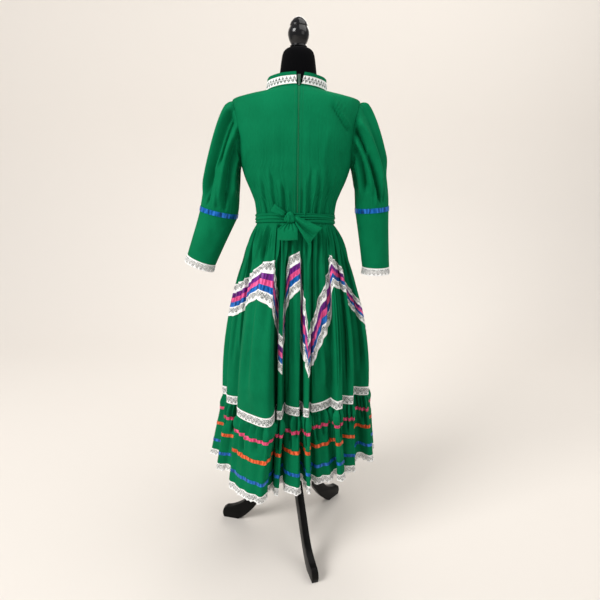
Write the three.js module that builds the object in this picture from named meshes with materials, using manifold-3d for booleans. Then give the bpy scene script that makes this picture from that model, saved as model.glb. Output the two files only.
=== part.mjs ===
// A folklorico dress worn on a limbless dress form with a tripod stand, in millimetres, +Z up.
// The form's pole is the axis x = y = 0 until the last lines, the wearer faces +Y and the zip is at -Y.
// Every cloth piece is a wall: a grid of outer points, and the same points moved in along the normals.
import * as THREE from 'three';
import { mergeVertices } from 'three/addons/utils/BufferGeometryUtils.js';
import Module from 'manifold-3d';

// Cloth, seams and trims
const WALL = 1.6;
const SEAM_GAP = 0.3;
const TRIM_LIFT = 0.4;
const TRIM_WALL = 1.0;

// Waist and neck seams lie in planes that tilt with y: height = level - tilt * y
const WAIST = { level: 1117, tilt: 0.2, half: 116, deep: 88 };
const SASH = { tall: 26, lift: 3.0, wall: 2.0, columns: 32 };
const NECK = { level: 1485, tilt: 0.27, tall: 37, laceFrom: 4, laceTo: 27, columns: 25 };
const NECK_GAP = { left: 1, leftTop: -1, right: 13, rightTop: 22 };
const ZIP = { x: 7, half: 3.7, inset: 0.6, wall: 1.2, above: 15, overSash: 20 };

// Skirt and flounce: two tilted planes that rise with x
const FLOUNCE_SEAM = { level: 540, slope: 0.085 };
const FLOUNCE_HEM = { level: 315, slope: 0.085 };
const HEM_LACE = 25;
const HEAD_LACE = 30;
const RIBBON_TALL = 11;
const RIBBON_DROPS = { pink: 48, orange: 111, blue: 181 };
const GATHER = 4.5;

// Armhole: an ellipse in the side view of the bodice, shared by the sleeve head
const ARMHOLE = { centre: 1372, tall: 90, deep: 50 };
const SLEEVE_COLUMNS = 20;

const GREEN = new THREE.MeshStandardMaterial({ color: 0x108050, roughness: 0.55 });
const LACE = new THREE.MeshStandardMaterial({ color: 0xf2f2ee, roughness: 0.8 });
const PURPLE = new THREE.MeshStandardMaterial({ color: 0x6e2382, roughness: 0.35 });
const PINK = new THREE.MeshStandardMaterial({ color: 0xeb558f, roughness: 0.35 });
const BLUE = new THREE.MeshStandardMaterial({ color: 0x1450a8, roughness: 0.35 });
const ORANGE = new THREE.MeshStandardMaterial({ color: 0xdc5523, roughness: 0.35 });
const JERSEY = new THREE.MeshStandardMaterial({ color: 0x0a0a0c, roughness: 0.95 });
const LACQUER = new THREE.MeshStandardMaterial({ color: 0x101012, roughness: 0.25 });
const STEEL = new THREE.MeshStandardMaterial({ color: 0xb8bcc0, roughness: 0.3, metalness: 1 });

const model = new THREE.Group();

// Level sections of the bodice: half width, half depth, place of the middle, squareness, tilt
const BODICE = [
  { level: 1117, half: 116, deep: 88, mid: 0, square: 2.0, tilt: 0.2 },
  { level: 1143, half: 117, deep: 89, mid: 0, square: 2.0, tilt: 0.2 },
  { level: 1178, half: 121, deep: 93, mid: 0, square: 2.1, tilt: 0.12 },
  { level: 1212, half: 133, deep: 99, mid: 1, square: 2.2, tilt: 0.06 },
  { level: 1250, half: 149, deep: 105, mid: 3, square: 2.3, tilt: 0 },
  { level: 1282, half: 159, deep: 109, mid: 5, square: 2.4, tilt: 0 },
  { level: 1299, half: 163, deep: 111, mid: 6, square: 2.4, tilt: 0 },
  { level: 1344, half: 168, deep: 109, mid: 5, square: 2.5, tilt: 0 },
  { level: 1400, half: 174, deep: 100, mid: 1, square: 2.5, tilt: 0.03 },
  { level: 1445, half: 180, deep: 88, mid: -1, square: 2.4, tilt: 0.1 },
  { level: 1462, half: 181, deep: 80, mid: -1, square: 2.2, tilt: 0.15 },
  { level: 1471, half: 150, deep: 74, mid: 0, square: 2.1, tilt: 0.2 },
  { level: 1478, half: 118, deep: 68, mid: 1, square: 1.85, tilt: 0.24 },
  { level: 1485, half: 86, deep: 62, mid: 2, square: 1.65, tilt: 0.27 },
];

// Level sections of the padded form, from the cut thigh to the top of the neck
const FORM = [
  { level: 800, half: 118, deep: 78, mid: 5, square: 2.0, across: 0 },
  { level: 812, half: 124, deep: 82, mid: 5, square: 2.0, across: 0 },
  { level: 880, half: 134, deep: 90, mid: 5, square: 2.1, across: 0 },
  { level: 950, half: 137, deep: 90, mid: 4, square: 2.1, across: 0 },
  { level: 1030, half: 126, deep: 84, mid: 2, square: 2.0, across: 0 },
  { level: 1120, half: 109.5, deep: 77, mid: 1, square: 2.0, across: 0 },
  { level: 1200, half: 121.9, deep: 88, mid: 3, square: 2.1, across: 0 },
  { level: 1280, half: 136, deep: 98, mid: 7, square: 2.2, across: 0 },
  { level: 1340, half: 145, deep: 98, mid: 6, square: 2.3, across: 0 },
  { level: 1400, half: 150, deep: 84, mid: 0, square: 2.3, across: 0 },
  { level: 1438, half: 150, deep: 68, mid: -2, square: 2.2, across: 0 },
  { level: 1458, half: 128, deep: 58, mid: -3, square: 2.1, across: 1 },
  { level: 1474, half: 90, deep: 51, mid: -4, square: 2.0, across: 2 },
  { level: 1495, half: 59, deep: 47, mid: -4, square: 2.0, across: 3 },
  { level: 1525, half: 53, deep: 46, mid: -3, square: 2.0, across: 4 },
  { level: 1558, half: 48.5, deep: 45, mid: -2, square: 2.0, across: 4 },
  { level: 1586, half: 43.5, deep: 41, mid: -2, square: 2.0, across: 4 },
  { level: 1598, half: 34, deep: 33, mid: -2, square: 2.0, across: 4 },
  { level: 1603, half: 22, deep: 22, mid: -2, square: 2.0, across: 4 },
];

// Broad folds of the skirt in plan at the flounce seam, from the left side seam as the back is seen,
// round the back, the right side and the front: both edges of each fold, the bottom of the valley
// after it, and how far its hem stands out beyond the seam
const FOLDS = [
  { x0: -222, y0: -22, x1: -172, y1: -50, valleyX: -150, valleyY: -72, flare: 36 },
  { x0: -176, y0: -112, x1: -68, y1: -196, valleyX: -52, valleyY: -112, flare: 32 },
  { x0: -48, y0: -156, x1: -34, y1: -158, valleyX: -27, valleyY: -104, flare: 32 },
  { x0: -20, y0: -122, x1: 20, y1: -142, valleyX: 23, valleyY: -100, flare: 50 },
  { x0: 34, y0: -148, x1: 49, y1: -154, valleyX: 53, valleyY: -112, flare: 36 },
  { x0: 62, y0: -126, x1: 120, y1: -92, valleyX: 125, valleyY: -101, flare: 28 },
  { x0: 138, y0: -120, x1: 156, y1: -112, valleyX: 146, valleyY: -82, flare: 22 },
  { x0: 166, y0: -84, x1: 192, y1: -88, valleyX: 176, valleyY: -50, flare: 20 },
  { x0: 200, y0: -26, x1: 248, y1: -30, valleyX: 236, valleyY: -4, flare: 26 },
  { x0: 256, y0: 24, x1: 232, y1: 92, valleyX: 196, valleyY: 98, flare: 28 },
  { x0: 190, y0: 128, x1: 110, y1: 178, valleyX: 80, valleyY: 130, flare: 30 },
  { x0: 62, y0: 172, x1: -36, y1: 196, valleyX: -56, valleyY: 140, flare: 30 },
  { x0: -88, y0: 168, x1: -166, y1: 150, valleyX: -165, valleyY: 108, flare: 30 },
  { x0: -202, y0: 112, x1: -246, y1: 44, valleyX: -206, valleyY: 14, flare: 50 },
];
const FOLD_BULGE = 0.1;
const HEM_VALLEY = 22;

// Zigzag trim: fold number (whole = left edge, .25 middle, .5 right edge, .75 valley), top, height
const ZIGZAG = [
  { fold: 0, top: 935, tall: 112 },
  { fold: 1, top: 980, tall: 100 },
  { fold: 1.25, top: 1018, tall: 100 },
  { fold: 1.5, top: 1029, tall: 135 },
  { fold: 2, top: 820, tall: 114 },
  { fold: 2.5, top: 803, tall: 117 },
  { fold: 3, top: 1034, tall: 133 },
  { fold: 3.5, top: 1053, tall: 110 },
  { fold: 3.75, top: 954, tall: 217 },
  { fold: 4.5, top: 815, tall: 140 },
  { fold: 5, top: 858, tall: 152 },
  { fold: 5.25, top: 944, tall: 165 },
  { fold: 5.5, top: 988, tall: 157 },
  { fold: 6, top: 1040, tall: 92 },
  { fold: 7.5, top: 997, tall: 77 },
  { fold: 8.5, top: 880, tall: 75 },
  { fold: 9.25, top: 832, tall: 110 },
  { fold: 10.25, top: 1040, tall: 110 },
  { fold: 11.25, top: 825, tall: 130 },
  { fold: 12.25, top: 1040, tall: 112 },
  { fold: 13, top: 868, tall: 115 },
  { fold: 13.5, top: 915, tall: 110 },
  { fold: 14, top: 935, tall: 112 },
];
const ZIGZAG_BANDS = [
  { name: 'zigzag_lace_upper', from: 0, to: 0.28, material: LACE },
  { name: 'zigzag_ribbon_purple', from: 0.28, to: 0.43, material: PURPLE },
  { name: 'zigzag_ribbon_pink', from: 0.43, to: 0.57, material: PINK },
  { name: 'zigzag_ribbon_blue', from: 0.57, to: 0.72, material: BLUE },
  { name: 'zigzag_lace_lower', from: 0.72, to: 1, material: LACE },
];

// Sleeves in the plane y = 0: the band at the elbow and the cuff, middle, half width, half depth,
// and the way that the tube runs there
const SLEEVES = [
  {
    side: -1, name: 'left', head: 36, puff: 12,
    elbow: { x: -230.5, z: 1149, half: 57, deep: 46, lean: -0.22 },
    cuff: { x: -289, z: 1003, half: 46, deep: 38, lean: -0.395 },
  },
  {
    side: 1, name: 'right', head: 30, puff: 12,
    elbow: { x: 230.5, z: 1164, half: 50, deep: 44, lean: 0.09 },
    cuff: { x: 252, z: 989, half: 42, deep: 36, lean: 0.02 },
  },
];
const ELBOW_BAND = 14;
const SLEEVE_PLEAT = 4;
const CUFF_LACE = 22;
const SCALLOP = 2;

// Stand: a six-sided hub, a steel pole and three plank legs, shown by their side outline
const HUB = { flat: 24, low: 232, top: 336 };
const POLE_RADIUS = 12.5;
const LEG_AZIMUTHS = [17.7, 137.7, 257.7];
const LEG_THICK = 22;
const LEG_TOP = [[24.3, 318], [70, 255], [112, 189], [166, 104], [192, 74], [226, 53], [250, 46]];
const LEG_TOE = [[262, 36], [266, 18], [262, 0]];
const LEG_UNDER = [[206, 0], [184, 16], [150, 54], [108, 116], [68, 178], [24.3, 242]];

const vector = (x, y, z) => new THREE.Vector3(x, y, z);
const mix = (a, b, t) => a + (b - a) * t;
const radians = (degrees) => degrees * Math.PI / 180;

// Value of one column of a table at a key, on a monotone cubic through its rows
function read(table, key, column, at) {
  let i = 0;
  while (i < table.length - 2 && at > table[i + 1][key]) i += 1;
  const slope = (k) => (table[k + 1][column] - table[k][column]) / (table[k + 1][key] - table[k][key]);
  const tangent = (k) => {
    if (k === 0 || k === table.length - 1) return slope(Math.min(k, table.length - 2));
    const before = slope(k - 1);
    const after = slope(k);
    return before * after <= 0 ? 0 : 2 * before * after / (before + after);
  };
  const span = table[i + 1][key] - table[i][key];
  const t = THREE.MathUtils.clamp((at - table[i][key]) / span, 0, 1);
  return (2 * t ** 3 - 3 * t ** 2 + 1) * table[i][column] + (t ** 3 - 2 * t ** 2 + t) * span * tangent(i)
    + (3 * t ** 2 - 2 * t ** 3) * table[i + 1][column] + (t ** 3 - t ** 2) * span * tangent(i + 1);
}

// Value of one column of a table at a key, in straight lines between its rows
function readStraight(table, key, column, at) {
  let i = 0;
  while (i < table.length - 2 && at > table[i + 1][key]) i += 1;
  const t = (at - table[i][key]) / (table[i + 1][key] - table[i][key]);
  return mix(table[i][column], table[i + 1][column], t);
}

// Point of a body section: a superellipse whose angle starts at +X and turns towards +Y
function sectionPoint(row, angle) {
  const power = 2 / row.square;
  const x = row.half * Math.sign(Math.cos(angle)) * Math.abs(Math.cos(angle)) ** power;
  const y = row.mid + row.deep * Math.sign(Math.sin(angle)) * Math.abs(Math.sin(angle)) ** power;
  return vector(x + (row.across ?? 0), y, row.level - (row.tilt ?? 0) * y);
}

// Outward normals of a grid whose columns run left to right and rows run down, seen from outside.
// Each is as long as the mitre of its corner, so that a wall keeps its thickness at a fold.
function gridNormals(grid, closed) {
  const rows = grid.length;
  const columns = grid[0].length;
  const faces = [];
  for (let r = 0; r < rows - 1; r += 1) {
    faces.push([]);
    for (let c = 0; c < (closed ? columns : columns - 1); c += 1) {
      const next = (c + 1) % columns;
      const fall = grid[r + 1][next].clone().sub(grid[r][c]);
      const rise = grid[r][next].clone().sub(grid[r + 1][c]);
      faces[r].push(fall.cross(rise).normalize());
    }
  }
  return grid.map((line, r) => line.map((_, c) => {
    const near = [];
    for (const fr of [r - 1, r]) {
      for (const fc of [c - 1, c]) {
        const column = closed ? (fc + columns) % columns : fc;
        if (faces[fr]?.[column]) near.push(faces[fr][column]);
      }
    }
    const normal = near.reduce((sum, face) => sum.add(face), vector(0, 0, 0)).normalize();
    const facing = near.reduce((sum, face) => sum + normal.dot(face), 0) / near.length;
    return normal.multiplyScalar(1 / Math.max(0.6, facing));
  }));
}

// Every point of a grid moved along its normal
function moved(grid, normals, distance) {
  return grid.map((line, r) => line.map((point, c) => point.clone().addScaledVector(normals[r][c], distance)));
}

// Closed solid between an outer and an inner grid of the same rows and columns
function shell(name, outside, inside, closed, material) {
  const rows = outside.length;
  const columns = outside[0].length;
  const points = [...outside.flat(), ...inside.flat()];
  const out = (r, c) => r * columns + c % columns;
  const inn = (r, c) => rows * columns + out(r, c);
  const faces = [];
  const quad = (a, b, c, d) => faces.push(a, b, c, a, c, d);
  const last = closed ? columns : columns - 1;
  for (let c = 0; c < last; c += 1) {
    for (let r = 0; r < rows - 1; r += 1) {
      quad(out(r, c), out(r + 1, c), out(r + 1, c + 1), out(r, c + 1));
      faces.push(inn(r, c), inn(r + 1, c + 1), inn(r + 1, c), inn(r, c), inn(r, c + 1), inn(r + 1, c + 1));
    }
    quad(out(0, c + 1), inn(0, c + 1), inn(0, c), out(0, c));
    quad(out(rows - 1, c + 1), out(rows - 1, c), inn(rows - 1, c), inn(rows - 1, c + 1));
  }
  for (let r = 0; r < rows - 1 && !closed; r += 1) {
    quad(out(r + 1, 0), out(r, 0), inn(r, 0), inn(r + 1, 0));
    quad(out(r + 1, last), inn(r + 1, last), inn(r, last), out(r, last));
  }
  addSolid(name, points, faces, material);
}

// Closed solid through rings of points, with a flat fan at each end
function stack(name, rings, material) {
  const columns = rings[0].length;
  const middle = (ring) => ring.reduce((sum, p) => sum.add(p), vector(0, 0, 0)).divideScalar(columns);
  const points = [...rings.flat(), middle(rings[0]), middle(rings.at(-1))];
  const top = points.length - 2;
  const faces = [];
  for (let c = 0; c < columns; c += 1) {
    const next = (c + 1) % columns;
    for (let r = 0; r < rings.length - 1; r += 1) {
      const a = r * columns;
      const b = a + columns;
      faces.push(a + c, b + c, b + next, a + c, b + next, a + next);
    }
    const end = (rings.length - 1) * columns;
    faces.push(top, c, next, top + 1, end + next, end + c);
  }
  addSolid(name, points, faces, material);
}

function addSolid(name, points, faces, material) {
  const geometry = new THREE.BufferGeometry();
  geometry.setAttribute('position', new THREE.Float32BufferAttribute(points.flatMap((p) => [p.x, p.y, p.z]), 3));
  geometry.setIndex(faces);
  geometry.computeVertexNormals();
  addMesh(name, geometry, material);
}

function addMesh(name, geometry, material) {
  const mesh = new THREE.Mesh(geometry, material);
  mesh.name = name;
  model.add(mesh);
  return mesh;
}

// Bodice. Each panel runs between its side and its other edge, and both sides are cut away
// inside the armhole's ellipse, where the half depth of the hole sets where a row starts.
const armholeDepth = (level) => {
  const up = (level - ARMHOLE.centre) / ARMHOLE.tall;
  return Math.max(SEAM_GAP / 2, ARMHOLE.deep * Math.sqrt(Math.max(0, 1 - up * up)));
};
const sideAngle = (row) => Math.asin((armholeDepth(row.level) / row.deep) ** (row.square / 2));
const backAngle = (row, x) => 1.5 * Math.PI + Math.asin(Math.sign(x) * (Math.abs(x) / row.half) ** (row.square / 2));

// Soft gathers over the waist at the back: every second column stands out, fading upwards
const GATHERS = { stand: 1.4, from: 1117, to: 1282 };
const gatherAt = (level) => GATHERS.stand * THREE.MathUtils.clamp((GATHERS.to - level) / (GATHERS.to - GATHERS.from), 0, 1);

function bodicePanel(name, start, end, columns, flat, gathered) {
  const rows = [...BODICE].reverse();
  const grid = rows.map((row) => {
    const line = [];
    for (let c = 0; c < columns; c += 1) {
      const point = sectionPoint(row, mix(start(row), end(row), c / (columns - 1)));
      const stand = gathered && c > 0 && c < columns - 1 && c % 2 ? gatherAt(row.level) : 0;
      line.push(point.add(vector(point.x, point.y, 0).normalize().multiplyScalar(stand)));
    }
    return line;
  });
  const normals = gridNormals(grid, false);
  normals.forEach((line) => {
    line[0][flat.first] = 0;
    line.at(-1)[flat.last] = 0;
  });
  shell(name, grid, moved(grid, normals, -WALL), false, GREEN);
}

const zipEdge = (side) => ZIP.x + side * (ZIP.half + SEAM_GAP);
bodicePanel('bodice_front', (row) => sideAngle(row), (row) => Math.PI - sideAngle(row), 14,
  { first: 'y', last: 'y' }, false);
bodicePanel('bodice_back_left', (row) => Math.PI + sideAngle(row), (row) => backAngle(row, zipEdge(-1)), 8,
  { first: 'y', last: 'x' }, true);
bodicePanel('bodice_back_right', (row) => backAngle(row, zipEdge(1)), (row) => 2 * Math.PI - sideAngle(row), 8,
  { first: 'x', last: 'y' }, true);

// Zip strip between the back edges, from above the sash to the gap of the collar
const zipRows = [...BODICE].reverse().filter((row) => row.level > WAIST.level + ZIP.overSash);
const zipGrid = zipRows.map((row) => [-1, 1].map((side) => {
  const point = sectionPoint(row, backAngle(row, ZIP.x + side * ZIP.half));
  return point.add(vector(0, ZIP.inset, 0));
}));
zipGrid.unshift(zipGrid[0].map((point) => point.clone().add(vector(0, 0, ZIP.above))));
const zipInner = zipGrid.map((line) => line.map((point) => point.clone().add(vector(0, ZIP.wall, 0))));
shell('back_zip', zipGrid, zipInner, false, GREEN);

// Zip slider with the bridge that holds the pull, and the pull hanging from it
const ZIP_TOP = zipGrid[0][0];
const PULL_AXIS = vector(ZIP.x, ZIP_TOP.y - 2.4, ZIP_TOP.z + 6.4);
const SLIDER = { half: 4, tall: 5.5, deep: 3.4, face: 1 };
const BRIDGE = { half: 1.1, post: 1.4, reach: 3.4, inner: 2.6, tall: 4 };
const PULL = { half: 2.9, eye: 1.7, bar: 0.7, neck: 6, drop: 22, thick: 1.3 };

const wasm = await Module();
wasm.setup();

function manifoldOf(geometry) {
  const bare = geometry.clone();
  bare.deleteAttribute('normal');
  bare.deleteAttribute('uv');
  const merged = mergeVertices(bare, 1e-4);
  return new wasm.Manifold(new wasm.Mesh({
    numProp: 3,
    vertProperties: new Float32Array(merged.attributes.position.array),
    triVerts: new Uint32Array(merged.index.array),
  }));
}

function geometryOf(solid) {
  const mesh = solid.getMesh();
  const geometry = new THREE.BufferGeometry();
  geometry.setAttribute('position', new THREE.Float32BufferAttribute(mesh.vertProperties, 3));
  geometry.setIndex(new THREE.BufferAttribute(mesh.triVerts, 1));
  geometry.computeVertexNormals();
  return geometry;
}

function boxBetween(low, high) {
  const box = new THREE.BoxGeometry(high.x - low.x, high.y - low.y, high.z - low.z);
  return box.translate((low.x + high.x) / 2, (low.y + high.y) / 2, (low.z + high.z) / 2);
}

const sliderBody = boxBetween(vector(-SLIDER.half, SLIDER.face, -SLIDER.tall),
  vector(SLIDER.half, SLIDER.face + SLIDER.deep, SLIDER.tall));
const bridgeBlock = boxBetween(vector(-BRIDGE.half, -BRIDGE.reach + 1, -BRIDGE.tall),
  vector(BRIDGE.half, SLIDER.face + 0.5, BRIDGE.tall));
const bridgeHole = boxBetween(vector(-BRIDGE.half - 1, -BRIDGE.reach + 1 + BRIDGE.post, -BRIDGE.inner),
  vector(BRIDGE.half + 1, SLIDER.face, BRIDGE.inner));
const bridge = manifoldOf(bridgeBlock).subtract(manifoldOf(bridgeHole));
const slider = addMesh('zip_slider', geometryOf(manifoldOf(sliderBody).add(bridge)), STEEL);
slider.position.copy(PULL_AXIS);

const pullOutline = new THREE.Shape([[-1, 1], [-1, -1], [-0.8, -1], [0.8, -1], [1, -1], [1, 1]].map(
  ([across, end]) => new THREE.Vector2(across * PULL.half, end > 0 ? PULL.bar : -PULL.drop)));
const eyeLow = -PULL.neck;
pullOutline.holes.push(new THREE.Path([
  new THREE.Vector2(-PULL.eye, -PULL.bar), new THREE.Vector2(PULL.eye, -PULL.bar),
  new THREE.Vector2(PULL.eye, eyeLow), new THREE.Vector2(-PULL.eye, eyeLow),
]));
const pullPlate = new THREE.ExtrudeGeometry(pullOutline, { depth: PULL.thick, bevelEnabled: false });
pullPlate.translate(0, 0, -PULL.thick / 2).rotateX(Math.PI / 2);
const pull = addMesh('zip_pull', geometryOf(manifoldOf(pullPlate)), STEEL);
pull.position.copy(PULL_AXIS);

// Stand collar, open at the back, with its lace band in its lower part
function collarLine(rise) {
  const row = { ...BODICE.at(-1), level: NECK.level + SEAM_GAP + rise };
  const up = rise / NECK.tall;
  row.half = mix(86, 82.5, up);
  row.deep = mix(62, 60.5, up);
  row.tilt = mix(NECK.tilt, 0.22, up);
  const start = backAngle(row, mix(NECK_GAP.right, NECK_GAP.rightTop, up)) - 2 * Math.PI;
  const end = backAngle(row, mix(NECK_GAP.left, NECK_GAP.leftTop, up));
  return Array.from({ length: NECK.columns }, (_, c) => sectionPoint(row, mix(start, end, c / (NECK.columns - 1))));
}
const collarGrid = [NECK.tall, NECK.laceTo, NECK.laceFrom, 0].map(collarLine);
const collarNormals = gridNormals(collarGrid, false);
collarNormals.forEach((line) => {
  line[0].x = 0;
  line.at(-1).x = 0;
});
shell('collar', collarGrid, moved(collarGrid, collarNormals, -WALL), false, GREEN);
shell('collar_lace', moved(collarGrid, collarNormals, TRIM_LIFT + TRIM_WALL).slice(1, 3),
  moved(collarGrid, collarNormals, TRIM_LIFT).slice(1, 3), false, LACE);

// Sleeves. The head is the armhole's outline: ten corners that the bodice has too, and the
// middles between them. Each column runs on a cubic curve from there to the band at the elbow.
function armholeCorner(side, index) {
  const turn = index * 2 * Math.PI / (SLEEVE_COLUMNS / 2) + Math.PI / 2;
  const level = ARMHOLE.centre + ARMHOLE.tall * Math.sin(turn);
  const depth = -side * ARMHOLE.deep * Math.cos(turn);
  const row = Object.fromEntries(['half', 'deep', 'mid', 'square', 'tilt'].map(
    (column) => [column, read(BODICE, 'level', column, level)]));
  const along = Math.max(0, 1 - (Math.abs(depth) / row.deep) ** row.square) ** (1 / row.square);
  const y = row.mid + depth;
  return vector(side * row.half * along, y, level - row.tilt * y);
}

function sleeveHead(side) {
  return Array.from({ length: SLEEVE_COLUMNS }, (_, c) => {
    const corner = armholeCorner(side, Math.floor(c / 2));
    if (c % 2) corner.lerp(armholeCorner(side, Math.floor(c / 2) + 1), 0.5);
    const inward = vector(0, -corner.y, ARMHOLE.centre - corner.z).normalize();
    return corner.addScaledVector(inward, SEAM_GAP).add(vector(side * SEAM_GAP, 0, 0));
  });
}

// Ring of a sleeve round a middle, with the tube running down and aside by its lean
function sleeveRing(side, place, drop, grow) {
  const down = vector(place.lean, 0, -1).normalize();
  const outer = vector(-down.z, 0, down.x).multiplyScalar(side);
  return Array.from({ length: SLEEVE_COLUMNS }, (_, c) => {
    const turn = c * 2 * Math.PI / SLEEVE_COLUMNS + Math.PI / 2;
    return vector(place.x, 0, place.z).addScaledVector(down, drop)
      .addScaledVector(outer, place.half * grow * Math.sin(turn))
      .add(vector(0, -side * place.deep * grow * Math.cos(turn), 0));
  });
}

const SLEEVE_STEPS = [0, 0.07, 0.22, 0.42, 0.64, 0.84, 1];
for (const sleeve of SLEEVES) {
  const { side, name, elbow, cuff } = sleeve;
  const head = sleeveHead(side);
  const band = sleeveRing(side, elbow, -ELBOW_BAND / 2, 1);
  const down = vector(elbow.lean, 0, -1).normalize();
  const columnTurn = (c) => c * 2 * Math.PI / SLEEVE_COLUMNS + Math.PI / 2;
  const curves = head.map((point, c) => {
    const high = (1 + Math.sin(columnTurn(c))) / 2;
    const front = -side * Math.cos(columnTurn(c));
    const leave = point.clone().add(vector(side * mix(15, sleeve.head, high), front * sleeve.puff, 0));
    const arrive = band[c].clone().addScaledVector(down, -mix(60, 130, high)).add(
      vector(side * high * 3, front * sleeve.puff * 0.8, 0));
    return new THREE.CubicBezierCurve3(point, leave, arrive, band[c]);
  });
  const upper = SLEEVE_STEPS.map((t) => curves.map((curve) => curve.getPoint(t)));
  const pleats = gridNormals(upper, true);
  upper.forEach((line, r) => line.forEach((point, c) => {
    const full = Math.sin(Math.PI * Math.min(1, SLEEVE_STEPS[r] * 1.6 + 0.12)) * (r > 0 && r < upper.length - 1);
    point.addScaledVector(pleats[r][c], (c % 2 ? -1 : 1) * SLEEVE_PLEAT * full);
  }));
  upper.push(sleeveRing(side, elbow, -SEAM_GAP / 2, 1));
  shell(`sleeve_upper_${name}`, upper, moved(upper, gridNormals(upper, true), -WALL), true, GREEN);

  const lower = [sleeveRing(side, elbow, SEAM_GAP / 2, 1), sleeveRing(side, elbow, ELBOW_BAND / 2, 1)];
  const end = sleeveRing(side, cuff, 0, 1);
  lower.push(lower[1].map((point, c) => point.clone().lerp(end[c], 0.5)), end);
  shell(`sleeve_lower_${name}`, lower, moved(lower, gridNormals(lower, true), -WALL), true, GREEN);

  const belt = [upper.at(-2), lower[1]];
  const beltNormals = gridNormals(belt, true);
  shell(`sleeve_ribbon_${name}`, moved(belt, beltNormals, TRIM_LIFT + TRIM_WALL),
    moved(belt, beltNormals, TRIM_LIFT), true, BLUE);

  const lace = [sleeveRing(side, cuff, SEAM_GAP, 1), sleeveRing(side, cuff, CUFF_LACE, 1.03)];
  const cuffDown = vector(cuff.lean, 0, -1).normalize();
  lace[1].forEach((point, c) => point.addScaledVector(cuffDown, c % 2 ? SCALLOP : -SCALLOP));
  shell(`cuff_lace_${name}`, lace, moved(lace, gridNormals(lace, true), -TRIM_WALL), true, LACE);
}

// Sash over the waist seam, and its knot, loop and tails at the back
const sashLine = (rise) => Array.from({ length: SASH.columns }, (_, c) => sectionPoint(
  { ...BODICE[0], level: WAIST.level + SEAM_GAP + rise }, c * 2 * Math.PI / SASH.columns));
const sashGrid = [sashLine(SASH.tall), sashLine(0)];
const sashNormals = gridNormals(sashGrid, true);
shell('sash', moved(sashGrid, sashNormals, SASH.lift + SASH.wall), moved(sashGrid, sashNormals, SASH.lift), true, GREEN);

const SASH_BACK = -(WAIST.deep + SASH.lift + SASH.wall);
const KNOT = { x: -14, z: 1150, half: 15.5, tall: 16, deep: 9 };
const knot = new THREE.SphereGeometry(1, 12, 8);
knot.scale(KNOT.half, KNOT.deep, KNOT.tall);
const knotMesh = addMesh('bow_knot', geometryOf(manifoldOf(knot)), GREEN);
knotMesh.position.set(KNOT.x, SASH_BACK - SEAM_GAP - KNOT.deep + 1, KNOT.z);
const KNOT_Y = knotMesh.position.y;

// Ruled strip between two edges, bellied towards the back, with columns left to right
function strip(name, topLeft, topRight, lowLeft, lowRight, belly) {
  const grid = [0, 0.33, 0.67, 1].map((v) => [0, 0.25, 0.5, 0.75, 1].map((u) => {
    const point = topLeft.clone().lerp(topRight, u).lerp(lowLeft.clone().lerp(lowRight, u), v);
    return point.add(vector(0, -belly * Math.sin(Math.PI * u) * v, 0));
  }));
  shell(name, grid, moved(grid, gridNormals(grid, false), -WALL), false, GREEN);
}
strip('bow_tail_left', vector(KNOT.x - 12, KNOT_Y - 1, 1134), vector(KNOT.x + 11, KNOT_Y - 1, 1134),
  vector(-49, KNOT_Y - 18, 1088), vector(9, KNOT_Y - 20, 1089), 6);
strip('bow_tail_right', vector(1.4, KNOT_Y - 2, 1156), vector(78, KNOT_Y - 12, 1123),
  vector(1.4, KNOT_Y - 4, 1134), vector(40, KNOT_Y - 16, 1074), 7);

// Small flat loop that stands up to the left of the knot
const LOOP = { x: -30.4, z: 1158.8, long: 36, fat: 4.2, wide: 20, rise: 34 };
const loopAlong = vector(-Math.cos(radians(LOOP.rise)), 0, Math.sin(radians(LOOP.rise)));
const loopAcross = vector(-loopAlong.z, 0, loopAlong.x).multiplyScalar(-1);
const loopGrid = [0.5, -0.5].map((side) => Array.from({ length: 12 }, (_, c) => {
  const turn = c * 2 * Math.PI / 12;
  return vector(LOOP.x, KNOT_Y - 0.6, LOOP.z)
    .addScaledVector(loopAlong, LOOP.long * (1 - Math.cos(turn)) / 2)
    .addScaledVector(loopAcross, side * LOOP.wide * (0.55 + 0.45 * (1 - Math.cos(turn)) / 2))
    .add(vector(0, -LOOP.fat * Math.sin(turn), 0));
}));
shell('bow_loop_left', loopGrid, moved(loopGrid, gridNormals(loopGrid, true), -WALL), true, GREEN);

// Plan of the skirt at the flounce seam and of the flounce at its hem. Each fold gives its left
// edge, quarter, middle, quarter and right edge, and the valley after it.
const FOLD_PARTS = [0, 1 / 3, 2 / 3, 1];
function foldPoint(index, part, out) {
  const fold = FOLDS[index];
  const start = vector(fold.x0, fold.y0, 0);
  const run = vector(fold.x1, fold.y1, 0).sub(start);
  const outward = vector(run.y, -run.x, 0).normalize();
  const radial = start.clone().addScaledVector(run, 0.5).normalize();
  const bulge = FOLD_BULGE * run.length() * 4 * part * (1 - part);
  return start.addScaledVector(run, part).addScaledVector(outward, bulge).addScaledVector(radial, out * fold.flare);
}
function valleyPoint(index, out) {
  const bottom = vector(FOLDS[index].valleyX, FOLDS[index].valleyY, 0);
  return bottom.setLength(bottom.length() + out * HEM_VALLEY);
}
function planPoints(parts, out) {
  return FOLDS.flatMap((_, index) => [...parts.map((part) => foldPoint(index, part, out)), valleyPoint(index, out)]);
}

const seamHeight = (point) => FLOUNCE_SEAM.level + FLOUNCE_SEAM.slope * point.x;
const hemHeight = (point) => FLOUNCE_HEM.level + FLOUNCE_HEM.slope * point.x;

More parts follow.
